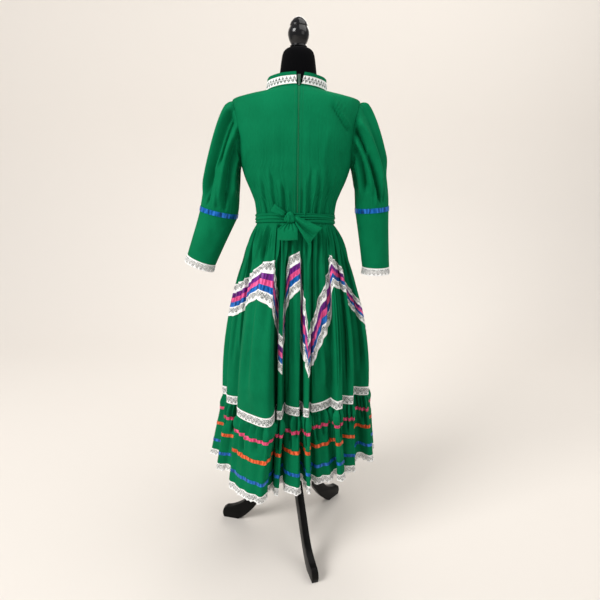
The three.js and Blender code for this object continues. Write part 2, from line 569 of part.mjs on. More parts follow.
// Skirt: each column falls from the waist ellipse to its place in the plan at the seam
const skirtPlan = planPoints([0, 0.5, 1], 0);
const COLUMNS = skirtPlan.length;
const azimuths = skirtPlan.map((point) => Math.atan2(point.x, -point.y));
for (let c = 1; c < COLUMNS; c += 1) while (azimuths[c] < azimuths[c - 1] - Math.PI) azimuths[c] += 2 * Math.PI;
const evened = azimuths.map((angle, c) => {
  const before = c ? azimuths[c - 1] : azimuths[COLUMNS - 1] - 2 * Math.PI;
  const after = c < COLUMNS - 1 ? azimuths[c + 1] : azimuths[0] + 2 * Math.PI;
  return (before + 2 * angle + after) / 4;
});
const waistPlan = evened.map((angle) => vector(WAIST.half * Math.sin(angle), -WAIST.deep * Math.cos(angle), 0));
const waistHeight = (point) => WAIST.level - WAIST.tilt * point.y;
const WAIST_GATHER = { stand: 2.6, share: 0.22 };

function skirtPoint(c, height) {
  const top = waistHeight(waistPlan[c]);
  const share = THREE.MathUtils.clamp((top - height) / (top - seamHeight(skirtPlan[c])), 0, 1);
  const fall = 1 - (1 - share) ** 2;
  const point = waistPlan[c].clone().lerp(skirtPlan[c], fall);
  const gather = WAIST_GATHER.stand * Math.sin(Math.PI * Math.min(1, share / WAIST_GATHER.share)) * (c % 2 ? -1 : 1);
  point.addScaledVector(vector(point.x, point.y, 0).normalize(), gather);
  return point.setZ(height);
}

function zigzagAt(c) {
  const fold = Math.floor(c / 4) + (c % 4) / 4;
  return { top: readStraight(ZIGZAG, 'fold', 'top', fold), tall: readStraight(ZIGZAG, 'fold', 'tall', fold) };
}
const skirtRows = [];
const aboveZigzag = [0, 0.12, 0.45];
const belowZigzag = [{ share: 0.5, rise: HEAD_LACE }, { share: 1, rise: HEAD_LACE }, { share: 1, rise: SEAM_GAP / 2 }];
for (const share of aboveZigzag) {
  skirtRows.push((c) => mix(waistHeight(waistPlan[c]) - SEAM_GAP / 2, zigzagAt(c).top, share));
}
const bandEdges = [...ZIGZAG_BANDS.map((band) => band.from), 1];
for (const edge of bandEdges) skirtRows.push((c) => zigzagAt(c).top - zigzagAt(c).tall * edge);
for (const { share, rise } of belowZigzag) {
  skirtRows.push((c) => mix(zigzagAt(c).top - zigzagAt(c).tall, seamHeight(skirtPlan[c]) + rise, share));
}
const skirtGrid = skirtRows.map((height) => skirtPlan.map((_, c) => skirtPoint(c, height(c))));
const skirtNormals = gridNormals(skirtGrid, true);
const levelNormals = (line) => line.forEach((normal) => normal.setZ(0));
levelNormals(skirtNormals.at(-1));
const skirtInner = moved(skirtGrid, skirtNormals, -WALL);

// Panel of the skirt between two columns, whose edges keep half the seam gap
function skirtPanel(name, from, to) {
  const cut = (grid) => grid.map((line) => {
    const part = [];
    for (let c = from; c <= to; c += 1) part.push(line[c % COLUMNS].clone());
    const nudge = (edge, beside) => edge.addScaledVector(beside.clone().sub(edge).normalize(), SEAM_GAP / 2);
    nudge(part[0], part[1]);
    nudge(part.at(-1), part.at(-2));
    return part;
  });
  shell(name, cut(skirtGrid), cut(skirtInner), false, GREEN);
}
const RIGHT_SEAM = 4 * 8 + 3;
const LEFT_SEAM = 4 * 13 + 3;
skirtPanel('skirt_back', LEFT_SEAM, RIGHT_SEAM + COLUMNS);
skirtPanel('skirt_front', RIGHT_SEAM, LEFT_SEAM);

const zigzagOuter = moved(skirtGrid, skirtNormals, TRIM_LIFT + TRIM_WALL);
const zigzagInner = moved(skirtGrid, skirtNormals, TRIM_LIFT);
ZIGZAG_BANDS.forEach((band, index) => {
  const row = aboveZigzag.length + index;
  const edge = (grid) => {
    const gap = (a, b) => a.map((point, c) => point.clone().lerp(b[c], SEAM_GAP / 2 / point.distanceTo(b[c])));
    return [gap(grid[row], grid[row + 1]), gap(grid[row + 1], grid[row])];
  };
  shell(band.name, edge(zigzagOuter), edge(zigzagInner), true, band.material);
});

// Lace over the foot of the skirt, down to the flounce seam
const headLace = (distance) => moved(skirtGrid, skirtNormals, distance).slice(-2);
shell('flounce_head_lace', headLace(TRIM_LIFT + TRIM_WALL), headLace(TRIM_LIFT), true, LACE);

// Flounce: its gathers open below the seam, and it has a line at both edges of each ribbon
const flouncePlan = planPoints(FOLD_PARTS, 0);
const flounceHem = planPoints(FOLD_PARTS, 1);
const PARTS = FOLD_PARTS.length + 1;
function flouncePoint(c, share, opened) {
  const top = flouncePlan[c].clone().setZ(seamHeight(flouncePlan[c]) - SEAM_GAP / 2);
  const low = flounceHem[c].clone().setZ(hemHeight(flounceHem[c]));
  const fold = FOLDS[Math.floor(c / PARTS)];
  const part = c % PARTS;
  const run = vector(fold.x1 - fold.x0, fold.y1 - fold.y0, 0);
  const stand = part < PARTS - 1 ? Math.min(GATHER, run.length() / 9) * (part % 2 ? -1 : 1) : 0;
  return top.lerp(low, share).addScaledVector(vector(run.y, -run.x, 0).normalize(), stand * opened);
}
const flounceTall = FLOUNCE_SEAM.level - FLOUNCE_HEM.level;
const ribbonDrops = Object.values(RIBBON_DROPS).flatMap((drop) => [drop, drop + RIBBON_TALL]);
const flounceGrid = [0, ...ribbonDrops, flounceTall].map(
  (drop) => flouncePlan.map((_, c) => flouncePoint(c, drop / flounceTall, drop ? 1 : 0.35)));
const flounceNormals = gridNormals(flounceGrid, true);
levelNormals(flounceNormals[0]);
levelNormals(flounceNormals.at(-1));
shell('flounce', flounceGrid, moved(flounceGrid, flounceNormals, -WALL), true, GREEN);
const ribbonMaterials = { pink: PINK, orange: ORANGE, blue: BLUE };
Object.keys(RIBBON_DROPS).forEach((colour, index) => {
  const band = (distance) => moved(flounceGrid, flounceNormals, distance).slice(1 + 2 * index, 3 + 2 * index);
  shell(`flounce_ribbon_${colour}`, band(TRIM_LIFT + TRIM_WALL), band(TRIM_LIFT), true, ribbonMaterials[colour]);
});

// Lace edge that hangs below the hem, scalloped at every second column
const laceTop = flounceGrid.at(-1).map((point) => point.clone().add(vector(0, 0, -SEAM_GAP)));
const laceLow = laceTop.map((point, c) => {
  const flare = flounceGrid.at(-1)[c].clone().sub(flounceGrid.at(-2)[c]).normalize();
  return point.clone().addScaledVector(flare, HEM_LACE + (c % 2 ? SCALLOP : 0));
});
const hemLace = [laceTop, laceLow];
const hemNormals = gridNormals(hemLace, true);
levelNormals(hemNormals[0]);
shell('hem_lace', hemLace, moved(hemLace, hemNormals, -TRIM_WALL), true, LACE);

// Dress form and stand
const FORM_COLUMNS = 18;
stack('form_body', [...FORM].reverse().map((row) => Array.from({ length: FORM_COLUMNS },
  (_, c) => sectionPoint(row, c * 2 * Math.PI / FORM_COLUMNS))), JERSEY);

const FINIAL = [[0, 1603.3], [19, 1603.3], [24, 1605], [21, 1609], [25, 1618], [29, 1630], [29.5, 1638],
  [27, 1648], [23.6, 1655], [24.4, 1658], [20, 1667], [13, 1674], [6, 1678], [0, 1679]];
const finial = new THREE.LatheGeometry(FINIAL.map(([r, z]) => new THREE.Vector2(r, z)), 16).rotateX(Math.PI / 2);
addMesh('form_finial', geometryOf(manifoldOf(finial)), LACQUER).position.set(4, -2, 0);

const cylinder = (radius, low, high, sides) => new THREE.CylinderGeometry(radius, radius, high - low, sides)
  .rotateX(Math.PI / 2).translate(0, 0, (low + high) / 2);
addMesh('form_pole', cylinder(POLE_RADIUS, HUB.top + SEAM_GAP, FORM[0].level - SEAM_GAP, 12), STEEL);
const hub = addMesh('form_hub', cylinder(HUB.flat / Math.cos(Math.PI / 6), HUB.low, HUB.top, 6), LACQUER);
hub.rotation.z = radians(LEG_AZIMUTHS[0] - 30);

const spline = (points, count) => new THREE.SplineCurve(points.map(([r, z]) => new THREE.Vector2(r, z))).getPoints(count);
const legShape = new THREE.Shape([...spline(LEG_TOP, 10), ...spline(LEG_TOE, 3), ...spline(LEG_UNDER, 9)]);
LEG_AZIMUTHS.forEach((azimuth, index) => {
  const geometry = new THREE.ExtrudeGeometry(legShape, { depth: LEG_THICK, bevelEnabled: false });
  geometry.translate(0, 0, -LEG_THICK / 2).rotateX(Math.PI / 2);
  const leg = addMesh(`form_leg_${index + 1}`, geometryOf(manifoldOf(geometry)), LACQUER);
  leg.rotation.z = radians(azimuth - 90);
});

// The whole stands with the middle of its box over the origin
model.updateMatrixWorld(true);
const bounds = new THREE.Box3().setFromObject(model);
const whole = new THREE.Group();
whole.add(model);
model.position.set(-(bounds.min.x + bounds.max.x) / 2, -(bounds.min.y + bounds.max.y) / 2, -bounds.min.z);

export default whole;
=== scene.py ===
"""A folklorico dress, seen from its back, on a limbless dress form with a wooden tripod.

Lengths in this file are millimetres from the pole of the stand, as a maker would measure them, and
placed() turns them into the metres of the scene. The wearer faces +Y and the zip faces -Y.
"""
import math

import bpy
import numpy as np
from mathutils import Matrix, Vector


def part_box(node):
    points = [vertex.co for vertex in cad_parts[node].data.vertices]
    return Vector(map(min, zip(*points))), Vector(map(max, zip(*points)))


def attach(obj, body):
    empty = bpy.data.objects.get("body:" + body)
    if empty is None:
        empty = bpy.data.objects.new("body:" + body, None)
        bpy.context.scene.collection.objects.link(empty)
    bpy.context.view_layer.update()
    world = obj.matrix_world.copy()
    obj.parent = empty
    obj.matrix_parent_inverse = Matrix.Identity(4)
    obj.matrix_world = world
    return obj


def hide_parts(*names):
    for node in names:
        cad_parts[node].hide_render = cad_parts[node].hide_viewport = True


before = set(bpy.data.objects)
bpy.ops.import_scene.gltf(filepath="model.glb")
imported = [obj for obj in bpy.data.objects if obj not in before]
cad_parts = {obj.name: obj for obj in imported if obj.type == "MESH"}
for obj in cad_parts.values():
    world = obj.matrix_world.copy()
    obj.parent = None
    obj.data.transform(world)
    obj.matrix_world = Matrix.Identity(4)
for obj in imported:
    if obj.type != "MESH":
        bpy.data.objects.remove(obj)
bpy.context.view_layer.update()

# Camera
# It stands behind the wearer at head height and looks down 17 degrees, rolled by less than one.
pole_low, pole_high = (np.array(corner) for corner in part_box("form_pole"))
POLE = (pole_low + pole_high) / 2 * (1, 1, 0)
camera = bpy.data.objects.new("camera", bpy.data.cameras.new("camera"))
bpy.context.scene.collection.objects.link(camera)
camera.data.lens = 30
camera.data.sensor_width = 36
camera.matrix_world = (
    Matrix.Translation(Vector(POLE) + Vector((0.018, -1.523, 1.340)))
    @ Matrix.Rotation(math.radians(73), 4, "X")
    @ Matrix.Rotation(math.radians(0.82), 4, "Z")
)
bpy.context.scene.camera = camera
bpy.context.scene.view_settings.view_transform = "Standard"


def new_material(name, colour, roughness, **more):
    """Principled material with constant sockets, a space in a name written as a low line. The nodes
    that vary it are added by its section."""
    material = bpy.data.materials.new(name)
    material.use_nodes = True
    shader = material.node_tree.nodes["Principled BSDF"]
    shader.inputs["Base Color"].default_value = (*colour, 1)
    shader.inputs["Roughness"].default_value = roughness
    for socket, value in more.items():
        shader.inputs[socket.replace("_", " ")].default_value = value
    return material, material.node_tree, shader


# Studio
# A cream floor that sweeps up into a wall, a broad soft key light on the left, a weaker fill, a rim
# light from behind and one on the wall.
studio_mesh = bpy.data.meshes.new("studio")
sweep = np.linspace(0, math.pi / 2, 16)
BEND = 1.6
side_line = np.concatenate([
    [(-4.0, 0.0)],
    BEND * np.stack([1 + np.sin(sweep), 1 - np.cos(sweep)], 1),
    [(2 * BEND, 5.0)],
])
corners = np.array([(x, y, z) for y, z in side_line for x in (-6.0, 6.0)])
strips = [(2 * i, 2 * i + 1, 2 * i + 3, 2 * i + 2) for i in range(len(side_line) - 1)]
studio_mesh.from_pydata(corners, [], strips)
for face in studio_mesh.polygons:
    face.use_smooth = True
studio = bpy.data.objects.new("studio", studio_mesh)
bpy.context.scene.collection.objects.link(studio)
paper, _, _ = new_material("cream paper", (0.745, 0.705, 0.66), 0.9, Specular_IOR_Level=0.2)
studio_mesh.materials.append(paper)

world = bpy.data.worlds.new("room")
bpy.context.scene.world = world
world.use_nodes = True
world.node_tree.nodes["Background"].inputs["Color"].default_value = (1.0, 0.98, 0.965, 1)
world.node_tree.nodes["Background"].inputs["Strength"].default_value = 0.38


def soft_light(name, place, target, side, watts, colour):
    """Square area light that faces its target."""
    light = bpy.data.lights.new(name, "AREA")
    light.size = side
    light.energy = watts
    light.color = colour
    lamp = bpy.data.objects.new(name, light)
    bpy.context.scene.collection.objects.link(lamp)
    lamp.location = place
    lamp.rotation_euler = (Vector(target) - Vector(place)).to_track_quat("-Z", "Y").to_euler()


soft_light("key", (-3.6, -2.7, 3.9), (0, 0, 0.9), 2.6, 268, (1, 0.985, 0.97))
soft_light("fill", (2.6, -2.4, 1.8), (0, 0, 0.9), 1.8, 12, (1, 0.98, 0.96))
soft_light("rim", (0.4, 2.2, 2.6), (0, 0, 1.1), 1.4, 16, (1, 0.99, 0.97))
soft_light("backdrop", (1.6, 0.2, 3.6), (0.9, 3.2, 0.9), 3.2, 68, (1, 0.985, 0.96))


# Stand
# Three planks of black lacquered wood, band-sawn to a curve, with their edges rounded over. They
# meet at a six-sided hub under the pole, which keeps its solid and gets the same lacquer.
def placed(points):
    """Millimetres from the pole to metres in the scene."""
    return np.asarray(points, float) / 1000 + POLE


def unit(vectors):
    """Vectors brought to length 1."""
    return vectors / np.maximum(np.linalg.norm(vectors, axis=-1, keepdims=True), 1e-9)


def full_turn(count):
    """Angles in even steps round a circle."""
    return np.linspace(0, 2 * math.pi, count, endpoint=False)


def bell(x):
    """Bell curve, 1 high in its middle and 0.37 at a distance of 1."""
    return np.exp(-(x**2))


def hermite(t, start, end, leave, arrive):
    """Cubic from a start to an end with a slope at each, for t from 0 to 1."""
    return ((2 * t**3 - 3 * t**2 + 1) * start + (t**3 - 2 * t**2 + t) * leave
            + (3 * t**2 - 2 * t**3) * end + (t**3 - t**2) * arrive)


def ring_faces(rows, columns):
    """Four-sided faces of a grid of points whose rows close on themselves."""
    r, c = np.meshgrid(np.arange(rows - 1), np.arange(columns), indexing="ij")
    d = (c + 1) % columns
    low, high = r * columns, (r + 1) * columns
    return np.stack([low + c, low + d, high + d, high + c], -1).reshape(-1, 4)


def calc(tree, operation, *values):
    """One math node; a value is a number or an output socket."""
    node = tree.nodes.new("ShaderNodeMath")
    node.operation = operation
    for socket, value in zip(node.inputs, values):
        if isinstance(value, bpy.types.NodeSocket):
            tree.links.new(value, socket)
        else:
            socket.default_value = value
    return node.outputs[0]


def noise(tree, scale, detail=3, where="Object", stretch=(1, 1, 1)):
    """Noise over object or UV coordinates, in waves per metre, stretched along the axes."""
    place = tree.nodes.new("ShaderNodeTexCoord").outputs[where]
    mapping = tree.nodes.new("ShaderNodeMapping")
    mapping.inputs["Scale"].default_value = stretch
    tree.links.new(place, mapping.inputs["Vector"])
    texture = tree.nodes.new("ShaderNodeTexNoise")
    texture.inputs["Scale"].default_value = scale
    texture.inputs["Detail"].default_value = detail
    tree.links.new(mapping.outputs["Vector"], texture.inputs["Vector"])
    return texture.outputs["Fac"]


def ramp(tree, factor, *stops):
    """Colour ramp through (place, colour) stops."""
    node = tree.nodes.new("ShaderNodeValToRGB")
    elements = node.color_ramp.elements
    while len(elements) < len(stops):
        elements.new(0.5)
    for element, (place, colour) in zip(elements, stops):
        element.position = place
        element.color = (*colour, 1)
    tree.links.new(factor, node.inputs["Fac"])
    return node.outputs["Color"]


def bump(tree, shader, height, depth, strength=1.0):
    """Bump from a height of 0 to 1 that is depth millimetres deep."""
    node = tree.nodes.new("ShaderNodeBump")
    node.inputs["Distance"].default_value = depth / 1000
    node.inputs["Strength"].default_value = strength
    tree.links.new(height, node.inputs["Height"])
    tree.links.new(node.outputs["Normal"], shader.inputs["Normal"])


lacquer, tree, shader = new_material("black lacquer", (0.006, 0.006, 0.006), 0.3, Coat_Weight=0.03,
                                     Coat_Roughness=0.18, Specular_IOR_Level=0.08)
grain = noise(tree, 22, 5, stretch=(1, 1, 0.15))
tree.links.new(ramp(tree, grain, (0.35, (0.002, 0.002, 0.002)), (0.75, (0.006, 0.0055, 0.005))),
               shader.inputs["Base Color"])
tree.links.new(calc(tree, "MULTIPLY_ADD", noise(tree, 9), 0.3, 0.2), shader.inputs["Roughness"])
bump(tree, shader, grain, 0.25)


def finish_piece(name, points, faces, uv, material, nodes, body="dress_and_form"):
    """Object from points in millimetres and faces of any size, riding on a body in place of its nodes."""
    mesh = bpy.data.meshes.new(name)
    if isinstance(faces, np.ndarray):
        mesh.vertices.add(len(points))
        mesh.vertices.foreach_set("co", placed(points).astype(np.float32).ravel())
        mesh.loops.add(faces.size)
        mesh.loops.foreach_set("vertex_index", faces.astype(np.int32).ravel())
        mesh.polygons.add(len(faces))
        mesh.polygons.foreach_set("loop_start", np.arange(0, faces.size, faces.shape[1], dtype=np.int32))
        mesh.polygons.foreach_set("loop_total", np.full(len(faces), faces.shape[1], np.int32))
    else:
        mesh.from_pydata(placed(points), [], faces)
    mesh.update(calc_edges=True)
    mesh.polygons.foreach_set("use_smooth", np.ones(len(mesh.polygons), bool))
    if uv is not None:
        layer = mesh.uv_layers.new(name="flat cloth")
        layer.data.foreach_set("uv", np.asarray(uv, np.float32).ravel())
    mesh.set_sharp_from_angle(angle=math.radians(58))
    mesh.materials.append(material)
    piece = bpy.data.objects.new(name, mesh)
    bpy.context.scene.collection.objects.link(piece)
    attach(piece, body)
    if nodes:
        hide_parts(*nodes)
    return piece


def through(points, count):
    """Uniform Catmull-Rom curve through the points, count steps in all."""
    points = np.asarray(points, float)
    spread = np.vstack([points[0], points, points[-1]])
    where = np.linspace(0, len(points) - 1, count + 1)
    i = np.minimum(where.astype(int), len(points) - 2)
    t = (where - i)[:, None]
    a, b, c, d = (spread[i + k] for k in range(4))
    return 0.5 * (2 * b + (c - a) * t + (2 * a - 5 * b + 4 * c - d) * t**2 + (3 * b - a - 3 * c + d) * t**3)


LEG_THICK = 22
LEG_ROUND = 2.4
leg_line = np.vstack([
    through([(24.3, 318), (70, 255), (112, 189), (166, 104), (192, 74), (226, 53), (250, 46)], 40),
    through([(262, 36), (266, 18), (262, 0)], 10),
    through([(206, 0), (184, 16), (150, 54), (108, 116), (68, 178), (24.3, 242)], 36),
])
leg_run = np.roll(leg_line, -1, 0) - np.roll(leg_line, 1, 0)
leg_inward = unit(np.stack([leg_run[:, 1], -leg_run[:, 0]], 1))
turns = np.linspace(0, math.pi / 2, 4)
leg_rings = [(LEG_ROUND * (1 - math.sin(t)), -LEG_THICK / 2 + LEG_ROUND * (1 - math.cos(t))) for t in turns]
leg_rings += [(inset, -across) for inset, across in reversed(leg_rings)]
for number, azimuth in enumerate((17.7, 137.7, 257.7), 1):
    out = np.array([math.sin(math.radians(azimuth)), -math.cos(math.radians(azimuth)), 0])
    aside = np.array([-out[1], out[0], 0])
    rings = []
    for inset, across in leg_rings:
        line = leg_line + leg_inward * inset
        rings.append(line[:, :1] * out + line[:, 1:] * (0, 0, 1) + across * aside)
    size = len(leg_line)
    faces = [tuple(range(size))]
    for ring in range(len(rings) - 1):
        base = ring * size
        faces += [(base + k, base + size + k, base + size + (k + 1) % size, base + (k + 1) % size)
                  for k in range(size)]
    faces.append(tuple(range(len(rings) * size - 1, (len(rings) - 1) * size - 1, -1)))
    finish_piece(f"stand_leg_{number}", np.vstack(rings), faces, None, lacquer,
                 [f"form_leg_{number}"])
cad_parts["form_hub"].material_slots[0].material = lacquer

steel, tree, shader = new_material("brushed steel", (0.42, 0.42, 0.43), 0.35, Metallic=1.0)
bump(tree, shader, noise(tree, 300, 2, stretch=(1, 1, 0.02)), 0.05)
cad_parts["form_pole"].material_slots[0].material = steel

# Dress form
# A padded torso with no limbs, covered in black jersey, cut level at the thigh and rounded off at
# the neck, with a turned wooden finial on top.
FORM = np.array([
    # level, half width, half depth, middle, squareness, across
    (800, 118, 78, 5, 2.0, 0), (812, 124, 82, 5, 2.0, 0), (880, 134, 90, 5, 2.1, 0),
    (950, 137, 90, 4, 2.1, 0), (1030, 126, 84, 2, 2.0, 0), (1120, 109.5, 77, 1, 2.0, 0),
    (1200, 121.9, 88, 3, 2.1, 0), (1280, 136, 98, 7, 2.2, 0), (1340, 145, 98, 6, 2.3, 0),
    (1400, 150, 84, 0, 2.3, 0), (1438, 150, 68, -2, 2.2, 0), (1458, 128, 58, -3, 2.1, 1),
    (1474, 90, 51, -4, 2.0, 2), (1495, 59, 47, -4, 2.0, 3), (1525, 53, 46, -3, 2.0, 4),
    (1558, 48.5, 45, -2, 2.0, 4), (1586, 43.5, 41, -2, 2.0, 4), (1598, 34, 33, -2, 2.0, 4),
    (1603, 22, 22, -2, 2.0, 4),
])


def read_rows(table, at):
    """All columns of a table at the levels in its first column, on monotone cubics through its rows."""
    key = table[:, 0]
    slope = np.diff(table, axis=0) / np.diff(key)[:, None]
    product = slope[:-1] * slope[1:]
    total = slope[:-1] + slope[1:]
    inner = np.where(product > 0, 2 * product / np.where(product > 0, total, 1), 0)
    tangent = np.vstack([slope[:1], inner, slope[-1:]])
    at = np.asarray(at, float)
    i = np.clip(np.searchsorted(key, at, side="right") - 1, 0, len(key) - 2)
    span = key[i + 1] - key[i]
    t = np.clip((at - key[i]) / span, 0, 1)[..., None]
    span = span[..., None]
    return hermite(t, table[i], table[i + 1], span * tangent[i], span * tangent[i + 1])


def section(half, deep, mid, square, angle):
    """Level section of a body: a superellipse whose angle starts at +X and turns towards +Y."""
    power = 2 / square
    x = half * np.sign(np.cos(angle)) * np.abs(np.cos(angle)) ** power
    y = mid + deep * np.sign(np.sin(angle)) * np.abs(np.sin(angle)) ** power
    return x, y


def lathe(profile, place, columns):
    """Points and faces of a profile of (radius, height) turned round an upright axis, shut at its ends."""
    profile = np.asarray(profile, float)
    turn = full_turn(columns)
    points = np.stack([place[0] + profile[:, :1] * np.cos(turn), place[1] + profile[:, :1] * np.sin(turn),
                       np.repeat(profile[:, 1:], columns, 1)], -1).reshape(-1, 3)
    faces = [tuple(face) for face in ring_faces(len(profile), columns)]
    faces.append(tuple(range(columns))[::-1])
    faces.append(tuple(range(len(points) - columns, len(points))))
    return points, faces


jersey, tree, shader = new_material("black jersey", (0.0015, 0.0015, 0.002), 0.95, Sheen_Weight=0.02,
                                    Sheen_Roughness=0.5, Specular_IOR_Level=0.05)
bump(tree, shader, noise(tree, 900, 2, stretch=(1, 1, 0.4)), 0.25)
form_levels = np.concatenate([np.linspace(800, 1590, 90), np.linspace(1591, 1603, 10)])
form_rows = read_rows(FORM, form_levels)
FORM_COLUMNS = 96
form_turn = full_turn(FORM_COLUMNS)
_, half, deep, mid, square, across = (form_rows[:, k, None] for k in range(6))
form_x, form_y = section(half, deep, mid, square, form_turn)
form_z = np.repeat(form_levels[:, None], FORM_COLUMNS, 1)
form_points = np.stack([form_x + across, form_y, form_z], -1).reshape(-1, 3)
_, form_faces = lathe(np.zeros((len(form_levels), 2)), (0, 0), FORM_COLUMNS)
finish_piece("torso", form_points, form_faces, None, jersey, ["form_body"])

FINIAL = [(8, 1603.4), (19, 1603.4), (23.6, 1604.6), (24, 1605.6), (22, 1608), (21, 1609.6), (22.4, 1613),
          (25, 1618), (28.8, 1630), (29.5, 1638), (28.6, 1644), (27, 1648), (23.9, 1654), (23.2, 1655.4),
          (24.3, 1657), (23.6, 1660), (20, 1667), (13, 1674), (6, 1677.8), (1, 1679)]
finial_points, finial_faces = lathe(through(FINIAL, 90), (4, -2), 72)
gloss, tree, shader = new_material("black gloss lacquer", (0.004, 0.004, 0.005), 0.14,
                                   Coat_Weight=0.15, Specular_IOR_Level=0.35)
bump(tree, shader, noise(tree, 60, 2), 0.06)
finish_piece("finial", finial_points, finial_faces, None, gloss, ["form_finial"])

# Cloth of the dress
# Green poplin, a plain weave with a slight dull shine. Each piece is one layer, a grid of points
# as it hangs and the same points moved in by the cloth's thickness.
CLOTH = 1.2
NARROWEST = 0.0105


def normals(grid, closed=False):
    """Unit normals of a grid of rows that run down and columns that run right, seen from outside."""
    across = np.gradient(grid, axis=1)
    if closed:
        across = np.roll(grid, -1, 1) - np.roll(grid, 1, 1)
    return unit(np.cross(np.gradient(grid, axis=0), across))


def layer(name, node, outer, wall, closed, material, slot, held, rests_on, lift=0.0, out=None):
    """Sheet of cloth between a grid and the same grid moved in by its wall. A band laid on cloth is
    declared as wide as its area says, but never under NARROWEST metres."""
    out = normals(outer, closed) if out is None else out
    top = outer + out * lift
    low = outer + out * (lift - wall)
    rows, columns = outer.shape[:2]
    last = columns if closed else columns - 1
    r, c = np.meshgrid(np.arange(rows - 1), np.arange(last), indexing="ij")
    r, c = r.ravel(), c.ravel()
    rim = np.arange(last)
    none, end = np.zeros_like(rim), np.full_like(rim, rows - 1)
    corners = [
        [(r, c, 0), (r + 1, c, 0), (r + 1, c + 1, 0), (r, c + 1, 0)],
        [(r, c, 1), (r, c + 1, 1), (r + 1, c + 1, 1), (r + 1, c, 1)],
        [(none, rim + 1, 0), (none, rim + 1, 1), (none, rim, 1), (none, rim, 0)],
        [(end, rim, 0), (end, rim, 1), (end, rim + 1, 1), (end, rim + 1, 0)],
    ]
    if not closed:
        down = np.arange(rows - 1)
        left, right = np.zeros_like(down), np.full_like(down, last)
        corners += [
            [(down, left, 0), (down, left, 1), (down + 1, left, 1), (down + 1, left, 0)],
            [(down, right, 0), (down + 1, right, 0), (down + 1, right, 1), (down, right, 1)],
        ]
    ring = np.concatenate([top, top[:, :1]], 1) if closed else top
    along = np.linalg.norm(np.diff(ring, axis=1), axis=2)
    drop = np.linalg.norm(np.diff(ring, axis=0), axis=2)
    u = np.concatenate([[0], np.cumsum(along[rows // 2])]) / 1000
    v = np.concatenate([[0], np.cumsum(drop.mean(1))]) / 1000
    faces = np.concatenate([np.stack([side * rows * columns + a * columns + b % columns
                                      for a, b, side in face], -1) for face in corners])
    uv = np.concatenate([np.stack([np.stack([u[b], v[a]], -1) for a, b, _ in face], 1)
                         for face in corners])
    points = np.concatenate([top.reshape(-1, 3), low.reshape(-1, 3)])
    piece = finish_piece(name, points, faces, uv.reshape(-1, 2), material, [node] if node else [])
    cells = np.cross(ring[1:, 1:] - ring[:-1, :-1], ring[:-1, 1:] - ring[1:, :-1])
    area = float(np.linalg.norm(cells, axis=2).sum()) / 2e6
    width, length = along.sum(1).max() / 1000, drop.sum(0).max() / 1000
    if held == "laid":
        length = max(area / width, NARROWEST)
    area = min(area, width * length)
    return piece


def creases(u, v, *lines):
    """Creases, each (u at start, v at start, u at end, v at end, half width, depth). A crease
    runs straight from start to end, is a bell curve across, and fades in and out along its length."""
    total = np.zeros(np.broadcast(u, v).shape)
    for u0, v0, u1, v1, wide, depth in lines:
        t = (v - v0) / (v1 - v0)
        fade = np.clip(np.minimum(t, 1 - t) * 5, 0, 1) * ((t > 0) & (t < 1))
        total += depth * bell((u - u0 - (u1 - u0) * t) / wide) * fade * fade * (3 - 2 * fade)
    return total


def ripples(s, seed, *waves):
    """Sum of sines over s, 0 to 1 round a closed edge: (count, height) each, with phases from the seed."""
    phases = np.random.default_rng(seed).uniform(0, 2 * math.pi, len(waves))
    return sum(height * np.sin(2 * math.pi * count * s + phase)
               for (count, height), phase in zip(waves, phases))


def weave_height(tree, pitch=0.00055):
    """Plain weave over the flat cloth's UV: threads that go over and under in turn, 0 to 1."""
    place = tree.nodes.new("ShaderNodeTexCoord").outputs["UV"]
    parts = tree.nodes.new("ShaderNodeSeparateXYZ")
    tree.links.new(place, parts.inputs[0])
    warp = calc(tree, "SINE", calc(tree, "MULTIPLY", parts.outputs["X"], math.pi / pitch))
    weft = calc(tree, "SINE", calc(tree, "MULTIPLY", parts.outputs["Y"], math.pi / pitch))
    return calc(tree, "MULTIPLY_ADD", calc(tree, "MULTIPLY", warp, weft), 0.5, 0.5)


GREEN = (0.001, 0.145, 0.056)
poplin, tree, shader = new_material("green poplin", GREEN, 0.75, Sheen_Weight=0.01, Sheen_Roughness=0.4,
                                    Sheen_Tint=(0.35, 0.9, 0.6, 1), Specular_IOR_Level=0.04)
tint = ramp(tree, noise(tree, 11, 4), (0.3, GREEN), (0.7, (0.002, 0.178, 0.071)))
threads = weave_height(tree)
mix = tree.nodes.new("ShaderNodeMix")
mix.data_type = "RGBA"
mix.blend_type = "MULTIPLY"
mix.inputs["Factor"].default_value = 0.35
tree.links.new(tint, mix.inputs[6])
slubs = noise(tree, 700, 2, "UV", (1, 0.08, 1))
tree.links.new(ramp(tree, slubs, (0.3, (0.7, 0.7, 0.7)), (0.7, (1, 1, 1))), mix.inputs[7])
tree.links.new(mix.outputs[2], shader.inputs["Base Color"])
halved = [calc(tree, "MULTIPLY", part, 0.5) for part in (threads, slubs)]
bump(tree, shader, calc(tree, "ADD", *halved), 0.12)


def green(name, node, grid, closed, held, rests_on, out=None):
    """Layer of the dress's own cloth."""
    return layer(name, node, grid, CLOTH, closed, poplin, "green_satin", held, rests_on, out=out)


